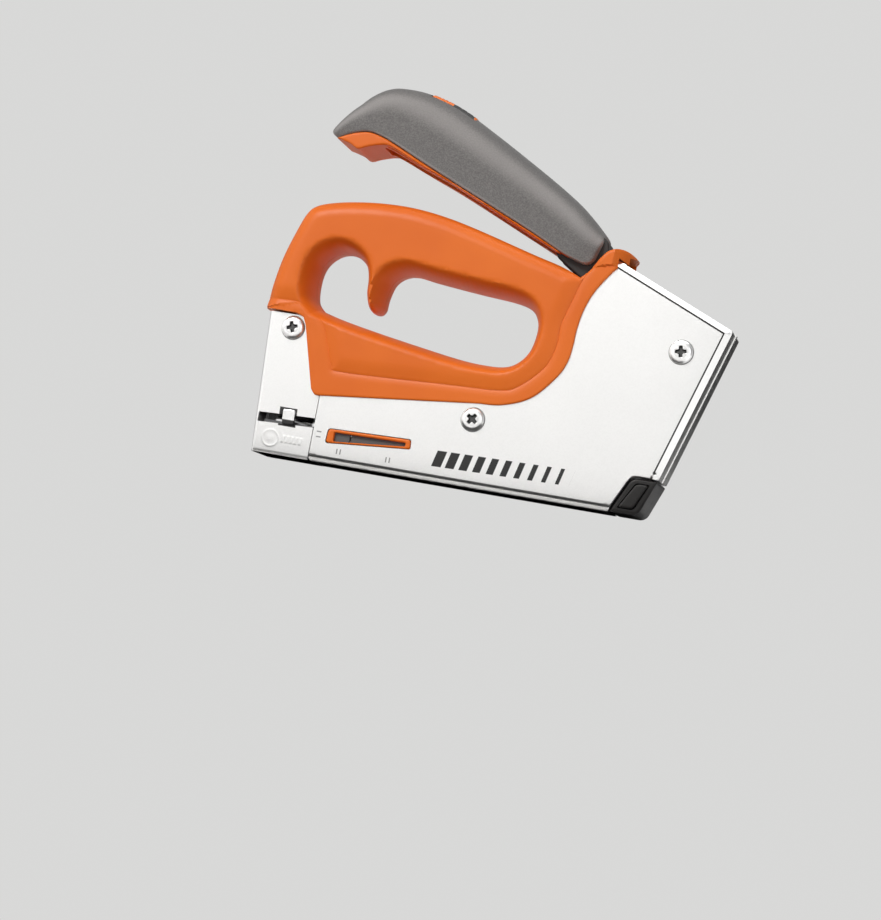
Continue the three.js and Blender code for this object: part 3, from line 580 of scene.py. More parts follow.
def lug_foot_shadow(p):
    """Painted shadow: the lower third of the bar is painted dark where shade falls."""
    x, y, z = p.axes()
    return 1 - z.rise(14.9, 15.3)

lug.data.materials.append(plated("plate_lug", lug_foot_shadow))
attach(lug, "frame")
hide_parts("nose_lug")

# ---------------------------------------------------------------- moulded grip
# Two halves of orange nylon, 2 to 3 mm thick, screwed together round the steel. The thick core falls
# into a soft valley, and beyond it a thin flange lies over the housing and runs up into the collar.
GRIP_HALF, FLANGE_HALF, VALLEY_HALF = 16.1, 15.1, 14.75
HAND_ROUND = 4.6
COLLAR_PLAN = (32.6, 20.4)
BAR_TOP = [(-98.4, 60.4), (-97.9, 66), (-95.4, 82), (-90.9, 96.8), (-88.2, 103.2), (-85.2, 106.4),
           (-79.5, 108.6), (-70, 110.5), (-57.2, 111.8), (-43.6, 111.8), (-29.8, 110.1), (-14.6, 106.7),
           (10.9, 99.7), (23.9, 96.3), (32.6, 92.6)]
COLLAR = [(32.6, 92.6), (35.9, 95.9), (38.8, 100.3), (41.8, 104.3), (44.8, 106), (48.7, 106.6),
          (52.4, 105.3), (55.7, 102)]
FLANGE = [(49.9, 101), (46.1, 97.1), (42.1, 91.5), (38.9, 85.9), (36.4, 78.6), (35.2, 71), (34.9, 64.3),
          (33.8, 57), (30.3, 50), (21.6, 40.3), (10.4, 35.6), (0, 34.6)]
FLANGE_NOSE = [(-67.4, 27.2), (-69.4, 27.3), (-71.2, 29.4), (-78.8, 55.6), (-80.4, 58.8), (-84.4, 60.2)]
HAND = [(-75.9, 63.9), (-80.2, 68.4), (-81.3, 75.5), (-80.2, 83), (-76, 88), (-70.5, 89.9), (-64.8, 88.8),
        (-60, 85), (-58.2, 79.5), (-57.6, 73), (-55.6, 67.6), (-52.9, 66.2), (-50.6, 69), (-50.1, 74.4),
        (-48.4, 80.4), (-44.6, 83.7), (-39, 84.8), (-29.2, 83.5), (-10.9, 81.6), (5, 80.2), (12.6, 77.9),
        (16.2, 73.6), (17.1, 68.2), (15.6, 60.4), (11.6, 55), (5.8, 52.4), (-4, 52), (-14.1, 52.8),
        (-29, 55), (-50, 58.4), (-66, 61.4), (-75.9, 63.9)]
CREASE = [(36.4, 97.5), (33.4, 90.5), (31.2, 82.8), (28.4, 72.2), (28, 63), (24.7, 53.3), (15.1, 43.8),
          (7.5, 41.3), (-12, 40.4), (-59, 38.4), (-64.2, 40.6), (-67.4, 48), (-70.6, 56), (-76, 62),
          (-82.5, 64.6), (-90, 64.8), (-99, 64.4)]
silhouette = np.vstack([curve(BAR_TOP)[:-1], curve(COLLAR)])
flange_line = np.vstack([curve(FLANGE), FLANGE_NOSE])
grip_line = ring(silhouette, flange_line, step=0.8)
hand_line = ring(curve(HAND)[:-1], step=0.8)
there_and_back = ring(curve(CREASE), curve(CREASE)[::-1], step=1.0)
crease_line = there_and_back[:len(there_and_back) // 2]

def grip_face(points):
    """Core height less the valley and the rounded edges. Round the hand opening the face falls along a
    quarter of an ellipse all the way to the middle plane, so that the two halves make one round bar."""
    x = points[:, 0]
    free = gap_to(points, silhouette, False)
    hand = gap_to(points, hand_line)
    thin = gap_to(points, flange_line, False)
    valley = gap_to(points, crease_line, False)
    core_side = within(points, np.vstack([curve(CREASE), silhouette[::-1]])) | \
        within(points, np.vstack([curve(CREASE), curve(BAR_TOP)]))
    shoulder = np.where(core_side, GRIP_HALF - VALLEY_HALF, FLANGE_HALF - VALLEY_HALF)
    wide = np.where(core_side, 6.5, 3.0)
    height = VALLEY_HALF + shoulder * smooth(valley, -0.35 * wide, wide)
    height = height - 0.16 * np.exp(-(valley / 0.5)**2)
    bar = 6.5 - 5.3 * smooth(x, 24, 36)
    inward = (1 - np.clip(hand / HAND_ROUND, 0, 1))**0.72
    wall = (height - JOIN) * (1 - np.sqrt(1 - inward**2))
    return height - rolled(free, bar) - wall - 0.8 * rolled(thin, 0.8)

def loft(name, rings):
    """A closed body through rings of points, with each end closed by a fan to its middle."""
    m, n = rings.shape[:2]
    at = np.arange(m * n).reshape(m, n)
    nxt = np.roll(at, -1, 1)
    sides = np.stack([at[:-1].ravel(), nxt[:-1].ravel(), nxt[1:].ravel(), at[1:].ravel()], 1)
    tri = np.vstack([sides[:, [0, 1, 2]], sides[:, [0, 2, 3]]])
    ends = np.vstack([np.stack([nxt[0], at[0], np.full(n, m * n)], 1),
                      np.stack([at[-1], nxt[-1], np.full(n, m * n + 1)], 1)])
    points = np.vstack([rings.reshape(-1, 3), rings[0].mean(0), rings[-1].mean(0)])
    return make(name, points, np.vstack([tri, ends]))

grip_rows = (0.02, 0.07, 0.2, 0.45, 0.8, 1.3, 1.9, 2.6, 3.4, 4.2)
grip_sheet = sheet(grip_line, [hand_line], rows=grip_rows, step=1.2, lines=[crease_line])
grip = lift("grip_moulding_left", grip_sheet, grip_face, JOIN)
steel_room = ring([(-67.3, -1), (70, -1), (79.5, 15), (98.9, 80.3), (46.2, 103.1)],
                  curve([(x - 0.3, z + 0.4) for x, z in HIDDEN_EDGE]), [(-67.3, 30.9)])
nose_room = ring([(-93.1, -1), (-67.3, -1), (-67.3, 27.3), (-78.1, 59.8), (-96.2, 59.8)])
linkage_room = ring([(-12, 30), (8, 46.5), (15.5, 53.5), (20.5, 61), (21.2, 76), (26, 84), (60, 84),
                     (60, 30)])
boot_room = ring([(8, 120), (8, 102.6), (13.5, 96.2), (27, 89), (34, 85.4), (38, 78), (60, 78), (60, 107.2),
                  (46, 102.3), (42.8, 103.4), (41.8, 120)])
cocking_room = ring([(-96, 20), (-96, 44), (-66, 44), (-10, 38.5), (0, 20)])
carve(grip, prism(steel_room, -14.3, 1), prism(nose_room, -13.3, 1), prism(linkage_room, -8, 1),
      prism(boot_room, -9.2, 1), prism(cocking_room, -3.4, 1))

# the bore for the power spring, narrowing a little under its blind top
BORE_X = -88.6
BORE = np.array([(5.6, 30), (5.6, 72), (4.75, 86), (4.7, 88)])
way_round = np.arange(40) * math.pi / 20
bore = np.stack([BORE_X + BORE[:, :1] * np.cos(way_round), BORE[:, :1] * np.sin(way_round),
                 np.repeat(BORE[:, 1:], len(way_round), 1)], -1)
carve(grip, loft("cutter", bore))

# the collar's rear end is an arc seen from above, longest at the middle, with a rounded edge
ARC_HALF_ANGLE = 1.15
ARC_LEVELS = np.array([[98.5, 0], [105, 0], [108, -1.6], [111, -6]])
arc = np.linspace(-ARC_HALF_ANGLE, ARC_HALF_ANGLE, 90)[:, None]
arc_radius = COLLAR_PLAN[1] + ARC_LEVELS[None, :, 1]
arc_wall = np.stack([COLLAR_PLAN[0] + arc_radius * np.cos(arc), arc_radius * np.sin(arc),
                     np.repeat(ARC_LEVELS[None, :, 0], len(arc), 0)], -1)
carve(grip, shell("cutter", arc_wall + (30, 0, 0), arc_wall))
right_grip = other_side(grip, "grip_moulding_right")

def moulded(name, light, dark, grain=0.012, rough=0.36):
    """Moulded plastic: a slight drift of colour, a fine spark-eroded grain and scuffs in the gloss."""
    p = Paint(name, IOR=1.5, Specular_IOR_Level=0.28)
    drift = p.noise(28, 2, 0.5)
    grit = p.noise(2600, 2, 0.6)
    scuff = p.noise(120, 4, 0.65).rise(0.55, 0.75)
    tint = p.mix(drift.rise(0.3, 0.7), light, dark)
    p.into(Base_Color=p.mix(grit.rise(0.35, 0.7) * 0.25, tint, dark),
           Roughness=rough + 0.08 * grit + 0.07 * scuff, Normal=p.relief(grit, grain))
    return p.material

ORANGE_LIGHT, ORANGE_DARK = (0.88, 0.180, 0.012, 1), (0.82, 0.155, 0.009, 1)
for piece, node in ((grip, "grip_left"), (right_grip, "grip_right")):
    shade(piece, 40)
    piece.data.materials.append(moulded("orange_" + node, ORANGE_LIGHT, ORANGE_DARK))
    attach(piece, "frame")
    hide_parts(node)

# ---------------------------------------------------------------- staple window
# A wedge-shaped orange bezel snaps into each shell. Its slot shows the staples and the dark rail.
BEZEL_PROUD, BEZEL_BACK = 0.35, 11.6
bezel_line = rounded([(-60.9, 8.4), (-24.7, 11.5), (-25.1, 15.3), (-60.5, 14.3)], (1.5, 1, 1, 1.5), 0.35)
view_line = rounded([(-57.8, 9.3), (-27, 12.2), (-27, 13.8), (-57.8, 13.2)], 0.5, 0.35)
bezel_sheet = sheet(bezel_line, [view_line], rows=(0.1, 0.3, 0.6), step=0.9)

def bezel_face(points):
    """A flat frame with its outer and inner edges rolled over."""
    d = np.minimum(gap_to(points, bezel_line), gap_to(points, view_line))
    return BODY_HALF + BEZEL_PROUD - rolled(d, 0.55)

bezel = lift("window_bezel_moulding_left", bezel_sheet, bezel_face, BEZEL_BACK)
right_bezel = other_side(bezel, "window_bezel_moulding_right")
for piece, node in ((bezel, "window_bezel_left"), (right_bezel, "window_bezel_right")):
    shade(piece, 40)
    piece.data.materials.append(moulded("orange_" + node, ORANGE_LIGHT, ORANGE_DARK, 0.006))
    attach(piece, "frame")
    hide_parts(node)

# a dark grey sight plate lies behind each slot, with a fine gap where the staples end
SIGHT_TONES = ((0.115, 0.118, 0.12, 1), (0.085, 0.088, 0.09, 1))
STEP_FROM, STEP_TO = -51.2, -50.6
sight_line = rounded([(-59, 8.3), (-26, 11.4), (-26, 14.7), (-59, 14.2)], 0.4, 0.3)
sight_step = np.array([(STEP_FROM, 8), (STEP_TO, 16)], float)
sight_sheet = sheet(sight_line, rows=(0.1, 0.3), step=0.5, lines=[sight_step])
staple_end = ring([(-51.7, 5), (-51.1, 5), (-50.1, 20), (-50.7, 20)])

def carried_across(piece, name):
    """The right-hand twin of a left-hand piece, in its place."""
    twin = other_side(piece, name)
    bpy.data.objects.remove(piece)
    return twin

def sight_face(points):
    """Flat, and a quarter of a millimetre lower behind the step."""
    return 12.6 - 0.25 * smooth(points[:, 0], STEP_FROM, STEP_TO)

for way, name in ((1, "window_sight_left"), (-1, "window_sight_right")):
    sight = carve(lift(name, sight_sheet, sight_face, 11.9), prism(staple_end, -14, -11))
    if way < 0:
        sight = carried_across(sight, name + "_twin")
    shade(sight, 50)
    sight.data.materials.append(moulded("grey_" + name, *SIGHT_TONES, 0.01, 0.4))
    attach(sight, "frame")

# ---------------------------------------------------------------- screws and nuts
# Zinc-plated pan-head screws with a cross recess hold the shells: two short ones in the nose, and two
# long ones through the body with flanged nuts on the right.
HEAD_R, HEAD_H = 4.8, 2.1
THREAD_HOLE, THREAD_END = 2.25, 2.0

def zinc(name, tone=0.62, well=None):
    """Bright zinc: cloudy passivation in colour and gloss over faint turning marks. well is the x, z and
    height of a recess whose deep part is painted dark as shade."""
    p = Paint(name, Metallic=1.0)
    cloud = p.noise(420, 3, 0.6)
    fine = p.noise(2400, 2, 0.5)
    tint = p.mix(cloud, (tone, tone, tone * 1.01, 1), (tone * 1.25, tone * 1.24, tone * 1.22, 1))
    if well:
        x, y, z = p.axes()
        off, rise = x - well[0], z - well[1]
        square = off * off + rise * rise
        # painted shade: the deep part of the cross recess is darkened
        recess_shade = (1 - square.rise(7.4, 8.2)) * (1 - y.size().rise(well[2] - 0.5, well[2] + 0.1))
        tint = p.mix(recess_shade * 0.93, tint, (0.03, 0.03, 0.03, 1))
    p.into(Base_Color=tint, Roughness=0.2 + 0.16 * cloud + 0.06 * fine, Normal=p.relief(fine, 0.006))
    return p.material

def pan_head(points, at, spin):
    """Low dome with a rounded rim, less a cross recess whose walls slope in to a flat bottom."""
    u, v = (points - at).T
    r = np.hypot(u, v)
    dome = HEAD_H - 0.25 * (r / HEAD_R)**2 - 0.95 * np.clip((r - 3.2) / (HEAD_R - 3.2), 0, 1)**2.4
    c, s = math.cos(spin), math.sin(spin)
    u, v = u * c + v * s, v * c - u * s
    arm = [smooth(0.85 - np.abs(p), 0, 0.45) * smooth(2.5 - np.abs(q), 0, 0.8) for p, q in ((u, v), (v, u))]
    well = np.maximum(np.maximum(*arm), smooth(1.5 - np.hypot(u, v), 0, 0.6))
    return dome - 1.25 * well

for name, key, face, way, spin in (("nose_screw_left", "nose", NOSE_HALF, 1, 0.3),
                                   ("nose_screw_right", "nose", NOSE_HALF, -1, 0.9),
                                   ("middle_screw", "middle", BODY_HALF, 1, 0.95),
                                   ("rear_screw", "rear", BODY_HALF, 1, 0.15)):
    at = np.array(SCREW_AT[key])
    disc = sheet(circle(*at, HEAD_R, 96), rows=(0.06, 0.14, 0.25), step=0.16)
    screw = lift(name + "_head", disc, lambda q: face + 0.1 + pan_head(q, at, spin), face + 0.08)
    if way < 0:
        screw = carried_across(screw, name + "_head_right")
    shade(screw, 50)
    screw.data.materials.append(zinc("zinc_" + name, 0.8, (*at, face + 0.1 + HEAD_H)))
    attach(screw, "frame")
    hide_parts(name)

for name, key in (("middle_nut", "middle"), ("rear_nut", "rear")):
    at = np.array(SCREW_AT[key])
    disc = sheet(circle(*at, HEAD_R, 96), [circle(*at, THREAD_HOLE, 40)], rows=(0.08, 0.2, 0.4), step=0.22)

    def nut_face(points):
        """A thin flange with a hexagon standing on it, rounded at the hexagon's top."""
        u, v = (points - at).T
        sixth = np.arange(6) * math.pi / 3
        flat = np.max(u[:, None] * np.cos(sixth) + v[:, None] * np.sin(sixth), axis=1)
        r = np.hypot(u, v)
        return BODY_HALF + 0.9 + 1.2 * smooth(3.45 - flat, 0, 0.25) - 0.35 * smooth(r, 3.2, 4.0) \
            - 0.3 * (1 - smooth(r, 2.2, 2.7)) - 0.4 * smooth(r, 4.4, 4.8)

    def thread_face(points):
        """The screw's end: flat, with a rounded rim."""
        return BODY_HALF + 1.9 - rolled(THREAD_END - np.hypot(*(points - at).T), 0.4)
    thread = lift("end", sheet(circle(*at, THREAD_END, 40), rows=(0.15, 0.4), step=0.6), thread_face,
                  BODY_HALF - 2)
    nut = carve(lift(name + "_left", disc, nut_face, BODY_HALF + 0.08), thread, how="UNION")
    nut = carried_across(nut, name + "_hexagon")
    shade(nut, 35)
    nut.data.materials.append(zinc("zinc_" + name, 0.66))
    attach(nut, "frame")
    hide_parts(name)

# ---------------------------------------------------------------- lever
# An orange nylon core carries a soft grey skin, moulded over it and ending in a rounded lip, with a
# small orange badge let into the crown. A dark boot closes the root inside the collar.
LEVER_HALF, SHOULDER, LIP_ROUND, DRAFT = 13.5, 9.0, 0.9, 0.05
CROWN = [(-86, 139.6), (-81.8, 145.6), (-76.2, 152.4), (-70.4, 158), (-64, 161.6), (-57, 162.6),
         (-46, 161.6), (-32, 157.2), (-15, 148.4), (10.7, 133.6), (24.6, 124.8), (32.7, 118.3),
         (39.4, 111.8)]
COVER_EDGE = [(-81.4, 136.7), (-74.7, 139.6), (-68, 141), (-61.7, 139.6), (-54.9, 136.8), (-37.2, 128.7),
              (5.4, 110.1), (22, 102.3), (29.3, 99.6), (33.3, 98.9), (36.2, 100.6)]
CORE_CROWN = [(-76.7, 141.9), (-71, 152.7), (-64, 157.5), (-57, 158.9), (-46, 157.9), (-33, 153.5),
              (-16, 144.7), (9, 130.1), (24, 119.7), (29.7, 112.7)]
CORE_LOW = [(25.7, 100.6), (5.4, 108.6), (-25.6, 122.6), (-44.2, 129.8), (-61, 136.2), (-74.7, 136.8)]
BOOT = [(12.7, 116.3), (20.5, 100.3), (34, 91.5), (40.4, 83.9), (53.3, 82.3), (57.3, 91), (54, 99.2),
        (46, 101.1), (41.6, 102.8), (40.4, 110.2), (30, 115.1)]

def along(points, share):
    """The points of a smooth line at the given shares of its length."""
    line = curve(points, 24)
    run = np.r_[0, np.cumsum(np.linalg.norm(np.diff(line, axis=0), axis=1))]
    return np.stack([np.interp(share * run[-1], run, line[:, k]) for k in (0, 1)], 1)

def cover_rings(share, shrink):
    """Sections across the lever: straight sides with a slight draft, a broad round shoulder to the
    crown and a small round lip below, all on the slanting line from lip to crown."""
    crown, lip = along(CROWN, share), along(COVER_EDGE, share)
    rise = crown - lip
    tall = np.linalg.norm(rise, axis=1)
    half = LEVER_HALF - 3.2 * np.clip(1 - share / 0.12, 0, 1)**2 - 1.2 * smooth(share, 0.9, 1.0)
    half, tall = half[:, None], tall[:, None]
    big, low = np.minimum(SHOULDER, 0.62 * tall), np.minimum(LIP_ROUND, 0.2 * tall)
    a = np.linspace(0, math.pi / 2, 14)
    y = np.hstack([low * (1 - np.sin(a)) - half, big * (1 - np.cos(a)) - half])
    q = np.hstack([low * (1 - np.cos(a)), tall - big * (1 - np.sin(a))])
    side = np.linspace(0, 1, 12)[1:-1]
    k = len(a)
    y = np.hstack([y[:, :k], y[:, k - 1:k] + (y[:, k:k + 1] - y[:, k - 1:k]) * side, y[:, k:]])
    q = np.hstack([q[:, :k], q[:, k - 1:k] + (q[:, k:k + 1] - q[:, k - 1:k]) * side, q[:, k:]])
    y = y * (1 - DRAFT * q / tall)
    middle = np.linspace(0, 1, 6)[1:-1]
    y = np.hstack([y, y[:, -1:] * (1 - 2 * middle), -y[:, ::-1], -y[:, :1] * (1 - 2 * middle)])
    q = np.hstack([q, np.repeat(q[:, -1:], 4, 1), q[:, ::-1], np.repeat(q[:, :1], 4, 1)])
    y, q = y * shrink[:, None], tall / 2 + (q - tall / 2) * shrink[:, None]
    flat = lip[:, None] + (rise / tall)[:, None] * q[..., None]
    return np.stack([flat[..., 0], y, flat[..., 1]], -1)

share = np.r_[0.0, 0.003, 0.008, np.linspace(0.016, 0.984, 120), 0.992, 0.997, 1.0]
shrink = np.ones(len(share))
shrink[:3] = (0.72, 0.9, 0.975)
shrink[-3:] = (0.985, 0.94, 0.86)
cover = loft("lever_soft_cover", cover_rings(share, shrink)[:, ::-1])
core_room = ring(curve(CORE_CROWN), curve(CORE_LOW), step=1.0)
BOOT_ROOM_HALF = 8.3
badge_room = ring(curve([(-45.3, 163.5), (-38, 160.9), (-31, 158.3), (-23.5, 155.4)]),
                  curve([(-24.7, 152.2), (-32, 155.4), (-39, 158), (-45.7, 159.8)]), step=0.8)
boot_cut = rounded(BOOT, (0, 0, 0, 0, 4, 0, 2, 0, 0, 2, 0), 0.8)
carve(cover, prism(core_room, -10.3, 10.3), prism(boot_cut, -BOOT_ROOM_HALF, BOOT_ROOM_HALF),
      prism(badge_room, -8.7, 8.7))
to_lip, to_crown = (gap_to(in_side_view(cover), curve(line), False) for line in (COVER_EDGE, CROWN))
keep_on_points(cover, "climb", to_lip / (to_lip + to_crown))
shade(cover, 42)

def soft_skin(name):
    """Soft-touch rubber: a warm grey with a dense fine pebble, with a painted highlight along the shoulder
    and a thin painted highlight at the lip, and painted shade on the crown."""
    p = Paint(name, IOR=1.45, Sheen_Weight=0.25, Sheen_Roughness=0.6)
    pebble = p.node("ShaderNodeTexVoronoi", {"feature": "F1"}, {"Vector": p.spot, "Scale": 1500.0})
    speck = p.noise(1700, 3, 0.7)
    drift = p.noise(25, 2, 0.5)
    climb = p.stored("climb")
    # painted highlight: a paler band along the shoulder
    shoulder_highlight = climb.rise(0.4, 0.68) * (1 - climb.rise(0.7, 0.92))
    # painted highlight: a thin pale line along the lip
    edge = 1 - climb.rise(0.015, 0.05)
    tint = p.mix(speck.rise(0.36, 0.66), (0.105, 0.098, 0.095, 1), (0.185, 0.173, 0.168, 1))
    tint = p.mix(shoulder_highlight * 0.55 + edge * 0.6, tint, (0.40, 0.375, 0.365, 1))
    # painted shade: darker towards the crown
    tint = p.mix(climb.rise(0.78, 1.0) * 0.7, tint, (0.05, 0.047, 0.045, 1))
    tint = p.mix(drift.rise(0.3, 0.75) * 0.12, tint, (0.10, 0.093, 0.09, 1))
    p.into(Base_Color=tint, Roughness=0.56 + 0.2 * speck,
           Normal=p.relief(1 - pebble.part("Distance") * 1.2 + speck * 0.5, 0.05))
    return p.material

cover.data.materials.append(soft_skin("grey_soft_skin"))
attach(cover, "lever")
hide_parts("lever_cover")

LIP_EDGE = [(-80.4, 136.2), (-75.2, 134.7), (-71.6, 133), (-67.3, 134.5), (-61, 136.1), (-56.3, 135.4),
            (-44.2, 130.1), (-25.6, 122.6), (5.4, 108.8), (21.2, 101.7)]
lip_line = ring(curve([(x, z - 0.3) for x, z in COVER_EDGE[:8]]), curve(LIP_EDGE[::-1]), step=0.5)
inner_line = ring(curve([(x, z - 0.3) for x, z in CORE_CROWN]), curve(CORE_LOW), step=1.0)
core = slab("lever_core_moulding", lip_line, 12.9, 0.9, step=1.6)
carve(core, slab("inner", inner_line, 9.9, 1.5, step=3.0), how="UNION")
trough = rounded([(-64, 120), (-60, 146), (-52, 151.5), (-20, 141.5), (12, 123.5), (27, 112.5), (60, 90)],
                 (0, 4, 4, 0, 0, 0, 0), 1.0)
carve(core, prism(trough, -6.6, 6.6), prism(boot_cut, -BOOT_ROOM_HALF, BOOT_ROOM_HALF))
shade(core, 40)
core.data.materials.append(moulded("orange_lever", ORANGE_LIGHT, ORANGE_DARK))
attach(core, "lever")
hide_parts("lever_core")

# the badge: a shallow pad that follows the crown and its shoulders, a little proud, with pressed grooves
PAD_HALF, PAD_PROUD, PAD_THICK = 8.3, 0.4, 1.6
pad_x = np.linspace(-44.8, -24.3, 90)
pad_v = np.linspace(-1, 1, 41)
crown_line = curve(CROWN, 24)
pad_z = np.interp(pad_x, crown_line[:, 0], crown_line[:, 1])
edge_u = np.minimum(pad_x - pad_x[0], pad_x[-1] - pad_x)
pad_y = PAD_HALF * pad_v
edge_v = PAD_HALF * (1 - np.abs(pad_v))
shoulder = 9.8 * (1 - np.sqrt(1 - (np.clip(np.abs(pad_y) - 4.3, 0, None) / 8.55)**2))
rim_fall = 0.35 * (1 - smooth(np.minimum(edge_u[:, None], edge_v[None]), 0, 0.7))
pressed = sum(0.25 * np.exp(-((pad_x + c) / 0.35)**2) for c in (41.5, 39.8, 38.1))
pad = np.stack([np.repeat(pad_x[:, None], 41, 1), np.repeat(pad_y[None], 90, 0),
                (pad_z + PAD_PROUD - pressed)[:, None] - rim_fall - shoulder], -1)
badge = skin("lever_badge_inset", pad, PAD_THICK)
shade(badge, 40)

def badge_print(name):
    """A plain two-tone pad: orange in front, and a dark panel with three pale bars behind."""
    p = Paint(name, IOR=1.5, Specular_IOR_Level=0.28)
    grit = p.noise(2600, 2, 0.6)
    x, y, z = p.axes()
    panel = x.rise(-35.2, -34.9) * (1 - x.rise(-25.5, -25.2))
    step = (x + 33.4).wrap(2.9)
    bars = (step - 1.2).rise(0, 0.2) * (1 - (step - 2.0).rise(0, 0.2))
    orange = p.mix(grit.rise(0.35, 0.7) * 0.25, ORANGE_LIGHT, ORANGE_DARK)
    dark = p.mix(bars * (1 - y.size().rise(6.6, 6.8)), (0.02, 0.019, 0.018, 1), (0.5, 0.48, 0.47, 1))
    p.into(Base_Color=p.mix(panel, orange, dark), Roughness=0.28 + 0.08 * grit,
           Normal=p.relief(grit, 0.004))
    return p.material

badge.data.materials.append(badge_print("orange_badge"))
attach(badge, "lever")
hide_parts("lever_badge")

BOOT_TONES = ((0.055, 0.051, 0.049, 1), (0.038, 0.036, 0.035, 1))
boot_line = rounded(BOOT, (0.6, 0.6, 2, 2, 4, 2, 2, 1, 1, 2, 1), 0.6)
boot = slab("lever_boot_moulding", boot_line, 7.9, 1.1, step=1.6)
arm_room = rounded([(-20, 96), (-20, 134), (26, 113.5), (36, 107.6), (62, 96), (62, 60), (30, 60)],
                   (0, 0, 0, 2, 0, 0, 0), 1.0)
carve(boot, prism(arm_room, -5.4, 5.4), prism(circle(*PIVOT, 6), -20, 20))
shade(boot, 40)
boot.data.materials.append(moulded("dark_boot", *BOOT_TONES, 0.02, 0.42))
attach(boot, "lever")
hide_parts("lever_boot")

# ---------------------------------------------------------------- magazine end
# The moulded cap closes the rear of the pull-out magazine. A sprung pad on each side is squeezed to
# let it go.
CAP = [(61.2, 0.2), (73, 0.2), (78.7, 15.2), (68.2, 15.2)]
CAP_HALF, POCKET_FLOOR = 13.2, 9.6
CATCH_MIDDLE, CATCH_HALF = 12.7, 1.5
DARK = ((0.024, 0.022, 0.021, 1), (0.015, 0.014, 0.014, 1))

def cap_line(inset, radius, step=0.45):
    """The cap's outline moved inwards, with its corners rounded."""
    lean = np.array([(1.5, 1), (-1, 1), (-1.4, -1), (1, -1)]) * inset
    return rounded(np.array(CAP) + lean, radius, step)

cap = slab("magazine_cap_moulding", cap_line(0, (0.8, 3, 0.8, 3)), CAP_HALF, 1.0, step=1.5)
pocket = cap_line(1.9, (0.8, 1.6, 0.8, 1.6))
carve(cap, prism(pocket, -20, -POCKET_FLOOR), prism(pocket, POCKET_FLOOR, 20))
tongue = slab("tongue", rounded([(58.2, 1.6), (70, 1.6), (70, 12.6), (58.2, 12.6)], 0.6), 5.4, 0.5)
carve(cap, tongue, how="UNION")
shade(cap, 40)
cap.data.materials.append(moulded("dark_cap", *DARK, 0.012, 0.3))
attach(cap, "magazine")
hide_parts("magazine_cap")

for way, node in ((-1, "catch_left"), (1, "catch_right")):
    pad_line = cap_line(2.3, (0.8, 1.6, 0.8, 1.6), 0.35)
    catch = slide(slab(node + "_pad", pad_line, CATCH_HALF, 0.7, step=0.8), way * CATCH_MIDDLE)
    shade(catch, 40)
    catch.data.materials.append(moulded("dark_" + node, *DARK, 0.02, 0.36))
    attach(catch, node)
    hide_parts(node)

# ---------------------------------------------------------------- springs
# The power spring of round wire drives the striker from inside the front column, and a long light
# spring on the magazine rod drives the pusher.
def spring(name, start, end, radius, wire, turns, steps=26, sides=10):
    """Round wire swept along a helix whose end turns lie flat, closed by a small dome at each end."""
    t = np.linspace(0, 1, int(turns * steps))
    angle = 2 * math.pi * turns * t
    length = np.linalg.norm(np.subtract(end, start)) - 2 * wire
    rise = wire + length * (t - 0.03 * np.sin(2 * math.pi * t))
    path = np.stack([radius * np.cos(angle), radius * np.sin(angle), rise], 1)
    out = np.stack([np.cos(angle), np.sin(angle), 0 * angle], 1)
    a = np.arange(sides) * 2 * math.pi / sides
    thick = wire * np.sqrt(np.clip(1 - np.clip(1 - np.minimum(t, 1 - t) * len(t) / 3, 0, 1)**2, 0.02, 1))
    rings = path[:, None] + thick[:, None, None] * (np.cos(a)[:, None] * out[:, None]
                                                    + np.sin(a)[:, None] * np.array([0, 0, 1.0]))
    if start[2] == end[2]:
        rings = rings[..., [2, 0, 1]]
    return loft(name, (rings + np.array(start))[:, ::-1])

def steel_wire(name, tone):
    """Drawn steel wire, cloudy in tone and gloss, with fine drawing marks."""
    p = Paint(name, Metallic=1.0)
    drawn = p.noise(1800, 2, 0.5)
    patch = p.noise(200, 3, 0.6)
    dull, bright = (tone * 0.8, tone * 0.8, tone * 0.83, 1), (tone * 1.2, tone * 1.2, tone * 1.2, 1)
    p.into(Base_Color=p.mix(patch, dull, bright),
           Roughness=0.24 + 0.14 * patch + 0.08 * drawn, Normal=p.relief(drawn, 0.01))
    return p.material

def corners_mm(node):
    """The low and high corners of a node's box."""
    return (np.array(corner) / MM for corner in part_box(node))

coil_low, coil_high = corners_mm("power_spring")
axis_x = (coil_low[0] + coil_high[0]) / 2
power = spring("power_spring_coil", (axis_x, 0, coil_low[2]), (axis_x, 0, coil_high[2]), 3.8, 0.8, 9.5)
shade(power, 60)
power.data.materials.append(steel_wire("wire_power", 0.4))
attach(power, "frame")
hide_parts("power_spring")
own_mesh(power)

feed_low, feed_high = corners_mm("pusher_spring")
rod_z = sum(corner[2] for corner in corners_mm("magazine_rod")) / 2
feed_ends = (feed_low[0], 0, rod_z), (feed_high[0], 0, rod_z)
feed = spring("pusher_spring_coil", *feed_ends, 2.45, 0.35, 24, 20, 8)
shade(feed, 60)
feed.data.materials.append(steel_wire("wire_feed", 0.45))
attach(feed, "magazine")
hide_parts("pusher_spring")
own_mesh(feed)

